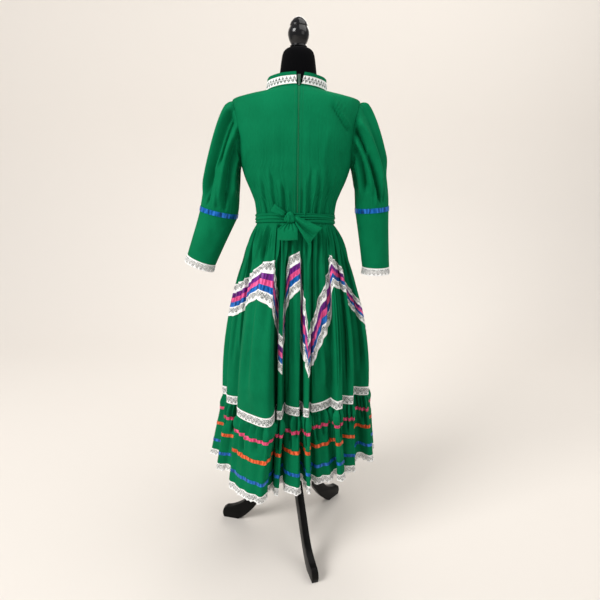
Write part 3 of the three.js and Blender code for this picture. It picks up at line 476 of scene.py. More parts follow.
# Bodice
# A front panel and two back panels, gathered softly into the waist seam, with the armholes cut out
# of both sides. The back panels stop either side of the zip.
WAIST_LEVEL = 1117
NECK_LEVEL = 1485
BODICE = np.array([
    # level, half width, half depth, middle, squareness, tilt
    (WAIST_LEVEL, 116, 88, 0, 2.0, 0.2), (1143, 117, 89, 0, 2.0, 0.2), (1178, 121, 93, 0, 2.1, 0.12),
    (1212, 133, 99, 1, 2.2, 0.06), (1250, 149, 105, 3, 2.3, 0), (1282, 159, 109, 5, 2.4, 0),
    (1299, 163, 111, 6, 2.4, 0), (1344, 168, 109, 5, 2.5, 0), (1400, 174, 100, 1, 2.5, 0.03),
    (1445, 180, 88, -1, 2.4, 0.1), (1462, 181, 80, -1, 2.2, 0.15), (1471, 150, 74, 0, 2.1, 0.2),
    (1478, 118, 68, 1, 1.85, 0.24), (NECK_LEVEL, 86, 62, 2, 1.65, 0.27),
])
SEAM_GAP = 0.3
ZIP_X = 7
ZIP_HALF = 3.7
ARMHOLE_LEVEL, ARMHOLE_TALL, ARMHOLE_DEEP = 1372, 90, 50


def bodice_rows(levels):
    """Half width, half depth, middle, squareness and tilt of the bodice at each level, as columns."""
    rows = read_rows(BODICE, levels)
    return [rows[:, k, None] for k in range(1, 6)]


def bodice_point(levels, angle, rows=None):
    """Points of the bodice at levels (rows) and angles (columns); a level is a plane tilted by y."""
    half, deep, mid, square, tilt = bodice_rows(levels) if rows is None else rows
    x, y = section(half, deep, mid, square, angle)
    return np.stack([x, y, levels[:, None] - tilt * y], -1)


def side_angle(levels):
    """Angle at which a panel starts beside the armhole, or at the side seam below it."""
    _, deep, _, square, _ = bodice_rows(levels)
    up = (levels[:, None] - ARMHOLE_LEVEL) / ARMHOLE_TALL
    cut = np.maximum(SEAM_GAP / 2, ARMHOLE_DEEP * np.sqrt(np.maximum(0, 1 - up * up)))
    return np.arcsin((cut / deep) ** (square / 2))


def back_angle(levels, x):
    """Angle at which the back of the bodice has a given x."""
    half, _, _, square, _ = bodice_rows(levels)
    return 1.5 * math.pi + np.arcsin(np.sign(x) * (np.abs(x) / half) ** (square / 2))


bodice_levels = np.unique(np.concatenate([np.linspace(WAIST_LEVEL, 1282, 37), np.linspace(1282, 1455, 28),
                                          np.linspace(1455, NECK_LEVEL, 18)]))[::-1]
BACK_FOLDS = [
    # x at start, level at start, x at end, level at end, half width, depth
    (-34, 1118, -44, 1262, 4.5, 4.0), (-27, 1118, -33, 1240, 4, -3.2), (-52, 1118, -66, 1275, 5, -3.0),
    (-60, 1120, -76, 1300, 5, 2.6), (-78, 1118, -92, 1250, 5, -3.4), (-88, 1122, -101, 1285, 5, 2.5),
    (-104, 1118, -120, 1262, 6, -2.4), (-16, 1118, -18, 1225, 3.5, 2.4),
    (27, 1118, 30, 1268, 4, 3.6), (19, 1118, 21, 1230, 3.5, -3.0), (37, 1118, 45, 1290, 4.5, -3.2),
    (48, 1120, 60, 1300, 5, 3.2), (57, 1118, 70, 1270, 4.5, -3.4), (68, 1120, 84, 1305, 5, 3.0),
    (78, 1118, 96, 1255, 5, -3.0), (95, 1120, 112, 1290, 6, 2.4),
    (62, 1200, 92, 1400, 9, 1.8), (-90, 1230, -104, 1400, 12, 1.4), (-46, 1260, -58, 1390, 10, 1.2),
    (28, 1300, 34, 1420, 9, 0.9), (88, 1466, 156, 1385, 5, 4.0), (90, 1450, 152, 1372, 4.5, -4.4),
    (80, 1470, 146, 1425, 4, 1.6), (-150, 1262, -128, 1330, 7, -2.2), (140, 1262, 126, 1330, 7, -2.0),
]
FRONT_FOLDS = [
    (x, 1118, x * 1.16, 1118 + tall, 5, depth)
    for x, tall, depth in zip(
        range(-96, 110, 12),
        (120, 95, 150, 110, 165, 90, 140, 105, 85, 130, 100, 160, 92, 148, 112, 135, 98, 120),
        (2.6, -2.8, 3.2, -2.4, 3.0, -3.3, 2.6, -2.2, 2.4, -3.0, 3.1, -2.6, 2.9, -3.2, 2.4, -2.7, 3.0, -2.3))
] + [(-66, 1250, -72, 1380, 16, 2.0), (66, 1250, 72, 1380, 16, 2.0)]

BODICE_CREASES = 1.25
WELT = 1.4
WELT_FROM_ZIP = 6.8


def bodice_panel(name, start, end, columns, folds, seed, flat_first=None, flat_last=None):
    """Panel between two angles at every level, pushed in and out by its folds."""
    share = np.linspace(0, 1, columns)[None]
    first, last = start(bodice_levels), end(bodice_levels)
    grid = bodice_point(bodice_levels, first + (last - first) * share)
    out = normals(grid)
    level = bodice_levels[:, None]
    edge = np.clip(np.minimum(share, 1 - share) * 14, 0, 1)
    soft = ripples(share + level / 900, seed, (1.3, 0.5), (2.7, 0.35))
    top = np.clip((NECK_LEVEL - level) / 25, 0, 1)
    low = np.exp(-(level - WAIST_LEVEL) / 110)
    gathers = ripples(share * columns / 120, seed + 40, (19, 1.1), (27, 1.0), (37, 0.7)) * low
    push = (BODICE_CREASES * creases(grid[..., 0], level, *folds) + soft + gathers) * edge * top
    push += WELT * bell((np.abs(grid[..., 0] - ZIP_X) - WELT_FROM_ZIP) / 2) * (grid[..., 1] < 0)
    grid = grid + out * push[..., None]
    out = normals(grid)
    if flat_first is not None:
        out[:, 0, flat_first] = 0
    if flat_last is not None:
        out[:, -1, flat_last] = 0
    return green(name.replace("bodice", "top"), name, grid, False, "stretched", ["form_body"], out=out)


bodice_panel("bodice_front", side_angle, lambda levels: math.pi - side_angle(levels),
             190, FRONT_FOLDS, 3, 1, 1)
bodice_panel("bodice_back_left", lambda levels: math.pi + side_angle(levels),
             lambda levels: back_angle(levels, ZIP_X - ZIP_HALF - SEAM_GAP), 120, BACK_FOLDS, 5, 1, 0)
bodice_panel("bodice_back_right", lambda levels: back_angle(levels, ZIP_X + ZIP_HALF + SEAM_GAP),
             lambda levels: 2 * math.pi - side_angle(levels), 120, BACK_FOLDS, 8, 0, 1)

# Zip
# A nylon coil on a woven tape, sewn under the two back edges, with lines of stitching beside it.
# The slider is near the top with its flat pull hanging down.
zip_levels = np.linspace(1143, NECK_LEVEL, 130)[::-1]
zip_grid = np.concatenate([bodice_point(zip_levels, back_angle(zip_levels, ZIP_X + x))
                           for x in np.linspace(-ZIP_HALF, ZIP_HALF, 7)], 1)
zip_grid[..., 1] += 0.9
zip_grid = np.concatenate([zip_grid[:1] + (0, 0, 14.5), zip_grid])
tape, tree, shader = new_material("zip tape", (0.002, 0.17, 0.066), 0.85, Specular_IOR_Level=0.1)
bump(tree, shader, weave_height(tree, 0.0007), 0.15)
zip_out = normals(zip_grid)
zip_out[:, :, 0] = 0
layer("zip_tape_strip", "back_zip", zip_grid, 1.0, False, tape, "zip_tape", None, [], out=zip_out)

coil, tree, shader = new_material("nylon coil", (0.02, 0.085, 0.03), 0.5)
bump(tree, shader, noise(tree, 800), 0.05)
COIL_PITCH = 2.1
coil_height = np.linspace(zip_grid[-1, 3, 2] + 1, zip_grid[1, 3, 2] + 13, 4200)[::2]
coil_turn = coil_height * 2 * math.pi / COIL_PITCH
mid_line = zip_grid[::-1, 3]
coil_y = np.interp(coil_height, mid_line[:, 2], mid_line[:, 1])
coil_path = np.stack([ZIP_X + 0.8 * np.sin(coil_turn), coil_y - 0.15 - 0.45 * np.cos(coil_turn),
                      coil_height], 1)


def tube(path, radius, sides):
    """Points of a round thread along each path, and the faces of one; it is open at its ends."""
    along = unit(np.gradient(path, axis=-2))[..., None, :]
    first = unit(np.cross(along, (0.31, 0.87, 0.38)))
    second = np.cross(along, first)
    turn = full_turn(sides)[:, None]
    ring = path[..., None, :] + radius * (np.cos(turn) * first + np.sin(turn) * second)
    return ring.reshape(-1, 3), ring_faces(path.shape[-2], sides)


coil_points, coil_faces = tube(coil_path, 0.34, 4)
finish_piece("zip_coil", coil_points, coil_faces, None, coil, [])

thread, tree, shader = new_material("green thread", (0.003, 0.11, 0.042), 0.7)
bump(tree, shader, noise(tree, 1500, 2), 0.05)


def stitches(name, path, pitch=3.0, long=2.2, radius=0.22):
    """Row of stitches on a path of points: short threads that dip into the cloth at both ends."""
    step = np.concatenate([[0], np.cumsum(np.linalg.norm(np.diff(path, axis=0), axis=1))])
    starts = np.arange(0.4, step[-1] - long, pitch)
    sample = starts[:, None] + np.linspace(0, long, 5)
    line = np.stack([np.interp(sample, step, path[:, k]) for k in range(3)], -1)
    thin = radius * np.array([0.4, 1, 1, 1, 0.4])[None, :, None, None]
    points, faces = tube(line, thin, 4)
    faces = faces + np.arange(len(starts))[:, None, None] * (len(points) // len(starts))
    finish_piece(name, points, faces.reshape(-1, 4), None, thread, [])


stitch_levels = np.linspace(1150, 1483, 160)
for side_name, x in (("left", -11.5), ("right", 11.5)):
    line = bodice_point(stitch_levels, back_angle(stitch_levels, ZIP_X + x))[:, 0]
    stitches(f"zip_stitches_{side_name}", line + (0, -0.15, 0))

polished, tree, shader = new_material("polished zip metal", (0.2, 0.32, 0.25), 0.28, Metallic=1.0)
bump(tree, shader, noise(tree, 900), 0.03)
for node in ("zip_slider", "zip_pull"):
    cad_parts[node].material_slots[0].material = polished

# Stand collar
# A straight band that stands up from the neck seam, open at the centre back, with a strip of white
# lace laid over its lower part.
NECK_TALL = 37
NECK_SQUARE = 1.65


def collar_grid(rises, columns=150):
    """Rows of the collar at heights above the neck seam, from the back opening round to it again."""
    up = np.asarray(rises, float)[:, None] / NECK_TALL
    half, deep, tilt = 86 - 3.5 * up, 62 - 1.5 * up, 0.27 - 0.05 * up
    start = 1.5 * math.pi + np.arcsin(((13 + 9 * up) / half) ** (NECK_SQUARE / 2)) - 2 * math.pi
    end = 1.5 * math.pi + np.arcsin(np.sign(1 - 2 * up) * (np.abs(1 - 2 * up) / half) ** (NECK_SQUARE / 2))
    angle = start + (end - start) * np.linspace(0, 1, columns)[None]
    x, y = section(half, deep, 2, NECK_SQUARE, angle)
    wave = 0.9 * up * np.sin(5.0 * angle + 0.6) + 0.5 * up * np.sin(11 * angle)
    grid = np.stack([x, y, NECK_LEVEL + SEAM_GAP + NECK_TALL * up - tilt * y], -1)
    out = normals(grid)
    return grid + out * wave[..., None]


collar_rises = np.concatenate([np.linspace(37, 27, 8)[:-1], np.linspace(27, 4, 13), [2, 0]])
collar = collar_grid(collar_rises)
green("neck_band", "collar", collar, False, "stretched", ["top_front"])

# White lace
# Machine lace with a net ground, flowers on a vine, or wedges on the collar, one straight edge and
# one edge in small scallops. The net's holes are under 4 mm, so they are in the material; they are darkened
# and half clear, a painted shade of what lies behind.
lace_group = bpy.data.node_groups.new("lace pattern", "ShaderNodeTree")
for socket, way in (("Band", "INPUT"), ("Wedges", "INPUT"), ("Cover", "OUTPUT"), ("Relief", "OUTPUT")):
    lace_group.interface.new_socket(socket, in_out=way, socket_type="NodeSocketFloat")
tree = lace_group
given = tree.nodes.new("NodeGroupInput")
taken = tree.nodes.new("NodeGroupOutput")
MOTIF = 0.028
place = tree.nodes.new("ShaderNodeTexCoord").outputs["UV"]
parts = tree.nodes.new("ShaderNodeSeparateXYZ")
tree.links.new(place, parts.inputs[0])
u, v, band = parts.outputs["X"], parts.outputs["Y"], given.outputs["Band"]
across = calc(tree, "SUBTRACT", v, calc(tree, "MULTIPLY", band, 0.5))
turned = calc(tree, "MULTIPLY", u, 2 * math.pi / MOTIF)


def opening(value, middle, wide):
    """1 where a value is within a distance of its middle."""
    return calc(tree, "LESS_THAN", calc(tree, "ABSOLUTE", calc(tree, "SUBTRACT", value, middle)), wide)


def flower(shift, rise, size, petals):
    """Two open rings of a flower, round its heart and round its petals, once every motif, shifted
    along the band and raised from its middle line."""
    cell = calc(tree, "PINGPONG", calc(tree, "ADD", u, MOTIF * (1 + shift)), MOTIF / 2)
    dy = calc(tree, "SUBTRACT", across, calc(tree, "MULTIPLY", band, rise))
    radius = calc(tree, "SQRT", calc(tree, "ADD", calc(tree, "MULTIPLY", cell, cell),
                                     calc(tree, "MULTIPLY", dy, dy)))
    turn = calc(tree, "ARCTAN2", dy, cell)
    edge = calc(tree, "MULTIPLY_ADD", calc(tree, "COSINE", calc(tree, "MULTIPLY", turn, petals)), 0.2, 0.8)
    reach = calc(tree, "DIVIDE", radius, calc(tree, "MULTIPLY", calc(tree, "MULTIPLY", edge, band), size))
    return highest(opening(reach, 1.0, 0.22), opening(reach, 0.42, 0.15))


def highest(*values):
    """Largest of several values."""
    total = values[0]
    for value in values[1:]:
        total = calc(tree, "MAXIMUM", total, value)
    return total


def vine(swing, turns):
    """Open line that winds along the band."""
    line = calc(tree, "MULTIPLY", calc(tree, "COSINE", calc(tree, "MULTIPLY", turned, turns)),
                calc(tree, "MULTIPLY", band, swing))
    return opening(calc(tree, "SUBTRACT", across, line), 0, 0.0009)


WEDGE_PITCH = 0.011


def wedges(shift, side, wide):
    """Row of open wedges that stand on the middle line of the band and point to one side of it."""
    cell = calc(tree, "PINGPONG", calc(tree, "ADD", u, WEDGE_PITCH * (1 + shift)), WEDGE_PITCH / 2)
    height = calc(tree, "MULTIPLY_ADD", across, side, -0.0008)
    slant = calc(tree, "MULTIPLY_ADD", height, 0.5, cell)
    return calc(tree, "MULTIPLY", calc(tree, "LESS_THAN", slant, wide),
                calc(tree, "GREATER_THAN", height, 0))


net = tree.nodes.new("ShaderNodeTexVoronoi")
net.feature = "DISTANCE_TO_EDGE"
net.inputs["Scale"].default_value = 400
tree.links.new(place, net.inputs["Vector"])
mesh_threads = calc(tree, "LESS_THAN", net.outputs["Distance"], 0.04)
head_edge = calc(tree, "LESS_THAN", v, 0.002)
scallop = calc(tree, "ABSOLUTE", calc(tree, "SINE", calc(tree, "MULTIPLY", u, math.pi / 0.008)))
foot_line = calc(tree, "SUBTRACT", band, calc(tree, "MULTIPLY_ADD", scallop, 0.0022, 0.0016))
foot_edge = calc(tree, "GREATER_THAN", v, foot_line)
holes = highest(flower(0, 0.06, 0.3, 5), flower(0.5, -0.1, 0.23, 4), flower(0.5, 0.28, 0.1, 3),
                flower(0.24, -0.3, 0.1, 3), vine(-0.3, 1), vine(0.3, 2))
fan = highest(wedges(0, 1, 0.0053), wedges(0.5, -1, 0.0047))
change = calc(tree, "SUBTRACT", fan, holes)
holes = calc(tree, "ADD", holes, calc(tree, "MULTIPLY", change, given.outputs["Wedges"]))
raised = calc(tree, "SUBTRACT", 1.0, holes)
tree.links.new(highest(raised, head_edge, foot_edge, mesh_threads), taken.inputs["Cover"])
cord = noise(tree, 1400, 2, "UV")
tree.links.new(calc(tree, "ADD", calc(tree, "MULTIPLY", raised, 0.7), calc(tree, "MULTIPLY", cord, 0.3)),
               taken.inputs["Relief"])

lace_materials = {}


def lace(band, wedged=0):
    """White lace as tall as its band in millimetres, its pattern of flowers or else of wedges."""
    if band not in lace_materials:
        material, tree, shader = new_material(f"white lace {band}", (0.86, 0.86, 0.85), 0.9)
        pattern = tree.nodes.new("ShaderNodeGroup")
        pattern.node_tree = lace_group
        pattern.inputs["Band"].default_value = band / 1000
        pattern.inputs["Wedges"].default_value = wedged
        cover = pattern.outputs["Cover"]
        # The openings get a near-black green colour at 0.4 alpha: painted shade of the cloth beneath, not a
        # colour of the lace.
        tree.links.new(calc(tree, "MULTIPLY_ADD", cover, 0.6, 0.4), shader.inputs["Alpha"])
        tree.links.new(ramp(tree, cover, (0, (0.006, 0.02, 0.012)), (1, (0.88, 0.88, 0.87))),
                       shader.inputs["Base Color"])
        bump(tree, shader, pattern.outputs["Relief"], 0.3)
        lace_materials[band] = material
    return lace_materials[band]


LACE = 0.5
RIBBON = 0.5
lace_rows = slice(7, 20)
layer("neck_lace", "collar_lace", collar[lace_rows], LACE, False, lace(23, 1), "white_lace", "stretched",
      ["neck_band"], lift=1.1, out=normals(collar)[lace_rows])

# Sleeves
# A full upper sleeve gathered into the armhole, a plain lower sleeve that flares to the wrist, a blue
# satin ribbon over the seam between them at the elbow, and lace below the cuff.
SLEEVES = {
    "left": dict(
        side=-1, head=36, puff=12, elbow=(-230.5, 1149, 57, 46, -0.22), cuff=(-289, 1003, 46, 38, -0.395),
        folds=[
            # round at start, down at start, round at end, down at end, half width, depth
            (0.105, 0.0, 0.085, 0.98, 0.022, 4.5), (0.145, 0.0, 0.13, 0.97, 0.02, -6.0),
            (0.185, 0.0, 0.185, 0.66, 0.026, -8.0), (0.235, 0.0, 0.25, 0.97, 0.028, 5.0),
            (0.29, 0.1, 0.31, 0.9, 0.03, -4.0), (0.36, 0.05, 0.37, 0.8, 0.03, 3.5),
            (0.42, 0.2, 0.43, 0.66, 0.022, -5.5), (0.16, 0.66, 0.15, 1.0, 0.014, -3.6),
            (0.21, 0.72, 0.22, 1.0, 0.014, 2.6), (0.30, 0.74, 0.31, 1.0, 0.014, -3.0),
            (0.03, 0.0, 0.03, 0.8, 0.025, -4.0), (0.97, 0.0, 0.96, 0.9, 0.03, 4.0),
            (0.90, 0.0, 0.91, 0.7, 0.024, -5.0), (0.84, 0.05, 0.83, 0.95, 0.03, 4.0),
            (0.77, 0.0, 0.76, 0.8, 0.026, -5.0), (0.69, 0.1, 0.7, 0.9, 0.03, 3.0),
            (0.62, 0.1, 0.62, 0.8, 0.026, -3.5),
        ]),
    "right": dict(
        side=1, head=30, puff=12, elbow=(230.5, 1164, 50, 44, 0.09), cuff=(252, 989, 42, 36, 0.02),
        folds=[
            (0.775, 0.0, 0.77, 0.5, 0.02, -7.0), (0.77, 0.42, 0.82, 1.0, 0.02, -6.5),
            (0.81, 0.0, 0.865, 0.98, 0.026, 5.0), (0.735, 0.05, 0.75, 0.9, 0.022, 4.5),
            (0.69, 0.0, 0.69, 0.85, 0.024, -6.0), (0.90, 0.02, 0.90, 0.9, 0.024, -3.5),
            (0.63, 0.15, 0.64, 0.9, 0.03, 3.0), (0.57, 0.2, 0.57, 0.7, 0.022, -4.5),
            (0.86, 0.74, 0.86, 1.0, 0.014, -2.8), (0.78, 0.78, 0.78, 1.0, 0.012, 2.2),
            (0.97, 0.0, 0.97, 0.8, 0.025, 4.0), (0.03, 0.0, 0.04, 0.9, 0.026, -5.0),
            (0.10, 0.0, 0.09, 0.8, 0.028, 4.0), (0.17, 0.0, 0.18, 0.9, 0.026, -5.0),
            (0.24, 0.1, 0.24, 0.9, 0.03, 4.0), (0.32, 0.0, 0.31, 0.8, 0.024, -4.0),
            (0.40, 0.1, 0.4, 0.8, 0.03, 3.0),
        ]),
}
SLEEVE_CREASES = 2.7
SLEEVE_TURN = full_turn(180)[None] + math.pi / 2
SLEEVE_ROUND = (SLEEVE_TURN - math.pi / 2) / (2 * math.pi)


def satin(name, colour, painted_shade_colour):
    """Satin ribbon: a bright smooth face, woven across its width, whose base colour carries painted shade
    and painted glints laid by noise.
    """
    material, tree, shader = new_material(name, colour, 0.3, Anisotropic=0.5, Sheen_Weight=0.02,
                                          Specular_IOR_Level=0.22)
    shade = noise(tree, 110, 3, "UV", (1, 0.25, 1))
    # The ramp paints shade and glints into the base colour: the darker colour is painted shade and the
    # lighter copy of the colour is a painted highlight.
    painted_glint = tuple(min(1, part * 1.5 + 0.06 * max(colour)) for part in colour)
    tree.links.new(ramp(tree, shade, (0.38, painted_shade_colour), (0.5, colour), (0.62, painted_glint)),
                   shader.inputs["Base Color"])
    ribs = noise(tree, 1600, 1, "UV", (1, 0.05, 1))
    bump(tree, shader, ribs, 0.06)
    return material


# The second colour of a satin is its painted shade.
blue = satin("blue satin", (0.001, 0.10, 0.38), (0.0005, 0.035, 0.14))


def down_along(lean):
    """Direction in which a tube that leans sideways runs down."""
    return np.array([lean, 0, -1]) / math.hypot(lean, 1)


def sleeve_ring(side, place, drop, grow=1.0):
    """Oval ring round a place of the sleeve, square to the way that the tube runs there."""
    x, z, half, deep, lean = place
    down = down_along(lean)
    outer = np.array([-down[2], 0, down[0]]) * side
    turn = SLEEVE_TURN[0][:, None]
    return (np.array([x, 0, z]) + down * drop + outer * half * grow * np.sin(turn)
            + np.array([0, -side * deep * grow, 0]) * np.cos(turn))


for name, sleeve in SLEEVES.items():
    side, elbow, cuff = sleeve["side"], sleeve["elbow"], sleeve["cuff"]
    turn = SLEEVE_TURN[0]
    head_level = ARMHOLE_LEVEL + ARMHOLE_TALL * np.sin(turn)
    depth = -side * ARMHOLE_DEEP * np.cos(turn)
    half, deep, mid, square, tilt = (column[:, 0] for column in bodice_rows(head_level))
    along = np.maximum(0, 1 - (np.abs(depth) / deep) ** square) ** (1 / square)
    head = np.stack([side * half * along, mid + depth, head_level - tilt * (mid + depth)], -1)
    inward = np.stack([0 * depth, -head[:, 1], ARMHOLE_LEVEL - head[:, 2]], -1)
    head += unit(inward) * SEAM_GAP + (side * SEAM_GAP, 0, 0)
    high = (1 + np.sin(turn)) / 2
    front = -side * np.cos(turn)
    rise = side * (15 + (sleeve["head"] - 15) * high)
    leave = head + np.stack([rise, front * sleeve["puff"], 0 * high], -1)
    seam = sleeve_ring(side, elbow, -SEAM_GAP / 2)
    band = sleeve_ring(side, elbow, -7)
    arrive = band - down_along(elbow[4]) * (60 + 70 * high[:, None]) + np.stack(
        [side * high * 3, front * sleeve["puff"] * 0.8, 0 * high], -1)
    t = (np.linspace(0, 1, 62) ** 1.15)[:, None, None]
    grid = (1 - t) ** 3 * head + 3 * (1 - t) ** 2 * t * leave + 3 * (1 - t) * t * t * arrive + t**3 * band
    out = normals(grid, True)
    way = t[..., 0]
    full = np.clip(np.sin(math.pi * np.minimum(1, way * 1.35 + 0.06)), 0, 1) * np.clip(way * 12, 0, 1)
    pleats = ripples(SLEEVE_ROUND + 0.02 * way, 11 + side, (10, 1.5), (17, 1.0), (29, 0.7))
    folds = SLEEVE_CREASES * creases(SLEEVE_ROUND, way, *sleeve["folds"])
    head_pleats = ripples(SLEEVE_ROUND, 21 + side, (34, 1.0), (47, 0.7)) * np.exp(-way * 9) * high ** 2
    elbow_pleats = ripples(SLEEVE_ROUND, 31 + side, (30, 0.8), (43, 0.6)) * np.exp((way - 1) * 11)
    low = np.clip((1 - way) * 14, 0, 1)
    push = (pleats * full + folds + (head_pleats + elbow_pleats) * np.clip(way * 20, 0, 1)) * low
    grid = np.concatenate([grid + out * push[..., None], (band + (seam - band) * 0.5)[None], seam[None]])
    upper = green(f"upper_sleeve_{name}", f"sleeve_upper_{name}", grid, True, "gathered", ["top_front"])
    cuff_ring = sleeve_ring(side, cuff, 0)
    top_ring = sleeve_ring(side, elbow, SEAM_GAP / 2)
    belt_ring = sleeve_ring(side, elbow, 7)
    s = np.linspace(0, 1, 28)[:, None, None]
    lower_grid = np.concatenate([top_ring[None], belt_ring + (cuff_ring - belt_ring) * s])
    lower_out = normals(lower_grid, True)
    way = np.concatenate([[0], s[:, 0, 0]])[:, None]
    soft = ripples(SLEEVE_ROUND + 0.1 * way, 41 + side, (2, 1.0), (3, 0.9), (5, 0.5))
    soft = soft * np.sin(math.pi * way) ** 0.7
    bent = creases(SLEEVE_ROUND, way, (0.2, 0.0, 0.3, 0.5, 0.03, -1.8), (0.75, 0.0, 0.8, 0.6, 0.03, -1.6),
                   (0.62, 0.1, 0.66, 0.9, 0.04, 1.5), (0.36, 0.1, 0.34, 0.9, 0.04, 1.4))
    lower_grid += lower_out * ((soft + bent) * np.clip((1 - way) * 12, 0, 1))[..., None]
    green(f"lower_sleeve_{name}", f"sleeve_lower_{name}", lower_grid, True, "hung", [upper])
    belt = np.stack([band + (belt_ring - band) * k for k in np.linspace(0, 1, 8)])
    belt_out = normals(belt, True)
    pucker = ripples(SLEEVE_ROUND, 51 + side, (37, 0.35), (23, 0.3))[..., None] * np.ones((8, 1, 1))
    layer(f"elbow_ribbon_{name}", f"sleeve_ribbon_{name}", belt + belt_out * pucker, RIBBON, True, blue,
          "blue_satin", "laid", [upper], lift=1.3, out=belt_out)
    rows = []
    for k in np.linspace(0, 1, 12):
        ring = sleeve_ring(side, cuff, SEAM_GAP + (22 - SEAM_GAP) * k, 1 + 0.03 * k)
        frill = ripples(SLEEVE_ROUND, 61 + side, (21, 1.1), (33, 0.9))[0] * k
        edge = 2.2 * k * np.abs(np.sin(SLEEVE_ROUND[0] * math.pi * 34))
        outward = unit(ring - ring.mean(0))
        rows.append(ring + outward * frill[:, None] + down_along(cuff[4]) * edge[:, None])
    layer(f"cuff_lace_{name}_strip", f"cuff_lace_{name}", np.stack(rows), LACE, True, lace(24), "white_lace",
          "gathered", [f"lower_sleeve_{name}"])

# Skirt
# Wide panels gathered into the waist. They fall in broad uneven folds with deep valleys between
# them, which the table gives in plan at the seam of the flounce.
FOLDS = np.array([
    # left edge x y, right edge x y, valley x y, flare of the hem
    (-222, -22, -172, -50, -150, -72, 36), (-176, -112, -68, -196, -52, -112, 32),
    (-48, -156, -34, -158, -27, -104, 32), (-20, -122, 20, -142, 23, -100, 50),
    (34, -148, 49, -154, 53, -112, 36), (62, -126, 120, -92, 125, -101, 28),
    (138, -120, 156, -112, 146, -82, 22), (166, -84, 192, -88, 176, -50, 20),
    (200, -26, 248, -30, 236, -4, 26), (256, 24, 232, 92, 196, 98, 28),
    (190, 128, 110, 178, 80, 130, 30), (62, 172, -36, 196, -56, 140, 30),
    (-88, 168, -166, 150, -165, 108, 30), (-202, 112, -246, 44, -206, 14, 50),
], float)
FINE = 12
WAIST_HALF, WAIST_DEEP, WAIST_TILT = 116, 88, 0.2
SEAM_LEVEL = 540
HEM_LEVEL = 315
SIDE_TILT = 0.085


def plan(out):
    """Left edge, middle, right edge and valley of every fold, moved out by a share of the hem's flare."""
    start, end, valley, flare = FOLDS[:, :2], FOLDS[:, 2:4], FOLDS[:, 4:6], FOLDS[:, 6:]
    run = end - start
    outward = np.stack([run[:, 1], -run[:, 0]], 1)
    radial = unit(start + run / 2)
    points = [start + run * part + outward * 0.4 * part * (1 - part) + radial * out * flare
              for part in (0, 0.5, 1)]
    reach = np.linalg.norm(valley, axis=1, keepdims=True)
    return np.stack([*points, valley * (reach + out * 22) / reach], 1).reshape(-1, 2)


def round_off(points):
    """Closed curve through the points, in FINE steps between two of them. Its tangents are as long as
    the shorter of the two chords beside a point, so that a fold is round but never overshoots."""
    after, before = np.roll(points, -1, 0), np.roll(points, 1, 0)
    chord = np.linalg.norm(after - points, axis=1)
    tangent = unit(after - before) * np.minimum(chord, np.roll(chord, 1))[:, None] * 0.9
    t = (np.arange(FINE) / FINE)[None, :, None]
    curve = hermite(t, points[:, None], after[:, None], tangent[:, None], np.roll(tangent, -1, 0)[:, None])
    return curve.reshape(-1, 2)


seam_points = plan(0)
azimuth = np.unwrap(np.arctan2(seam_points[:, 0], -seam_points[:, 1]))
wrapped = np.concatenate([[azimuth[-1] - 2 * math.pi], azimuth, [azimuth[0] + 2 * math.pi]])
evened = (wrapped[:-2] + 2 * azimuth + wrapped[2:]) / 4
column = np.arange(len(seam_points) * FINE) / FINE
waist_angle = np.interp(column, np.arange(len(evened) + 1), np.append(evened, evened[0] + 2 * math.pi))
waist = np.stack([WAIST_HALF * np.sin(waist_angle), -WAIST_DEEP * np.cos(waist_angle)], 1)
seam = round_off(seam_points)
waist_height = WAIST_LEVEL - WAIST_TILT * waist[:, 1]
seam_height = SEAM_LEVEL + SIDE_TILT * seam[:, 0]
fold = column / 4
around = np.concatenate([[0], np.cumsum(np.linalg.norm(np.diff(seam, axis=0), axis=1))])
around /= around[-1] + np.linalg.norm(seam[0] - seam[-1])

# Zigzag of the trim: fold number, height of its top edge and how tall it is there
ZIGZAG = np.array([
    (0, 935, 112), (1, 980, 100), (1.25, 1018, 100), (1.5, 1029, 135), (2, 820, 114), (2.5, 803, 117),
    (3, 1034, 133), (3.5, 1053, 110), (3.75, 954, 217), (4.5, 815, 140), (5, 858, 152), (5.25, 944, 165),
    (5.5, 988, 157), (6, 1040, 92), (7.5, 997, 77), (8.5, 880, 75), (9.25, 832, 110), (10.25, 1040, 110),
    (11.25, 825, 130), (12.25, 1040, 112), (13, 868, 115), (13.5, 915, 110), (14, 935, 112),
])


def zigzag_height(edge):
    """Height of a line of the trim at every column: edge is 0 at its top and 1 at its foot."""
    return np.interp(fold, ZIGZAG[:, 0], ZIGZAG[:, 1] - ZIGZAG[:, 2] * edge)


def skirt_point(height):
    """Skirt at a height per column: it leaves the waist steeply outward and hangs straighter below."""
    share = np.clip((waist_height - height) / (waist_height - seam_height), 0, 1)
    fall = 1 - (1 - share) ** 2
    flat = waist + (seam - waist) * fall[:, None]
    return np.column_stack([flat, height]), share


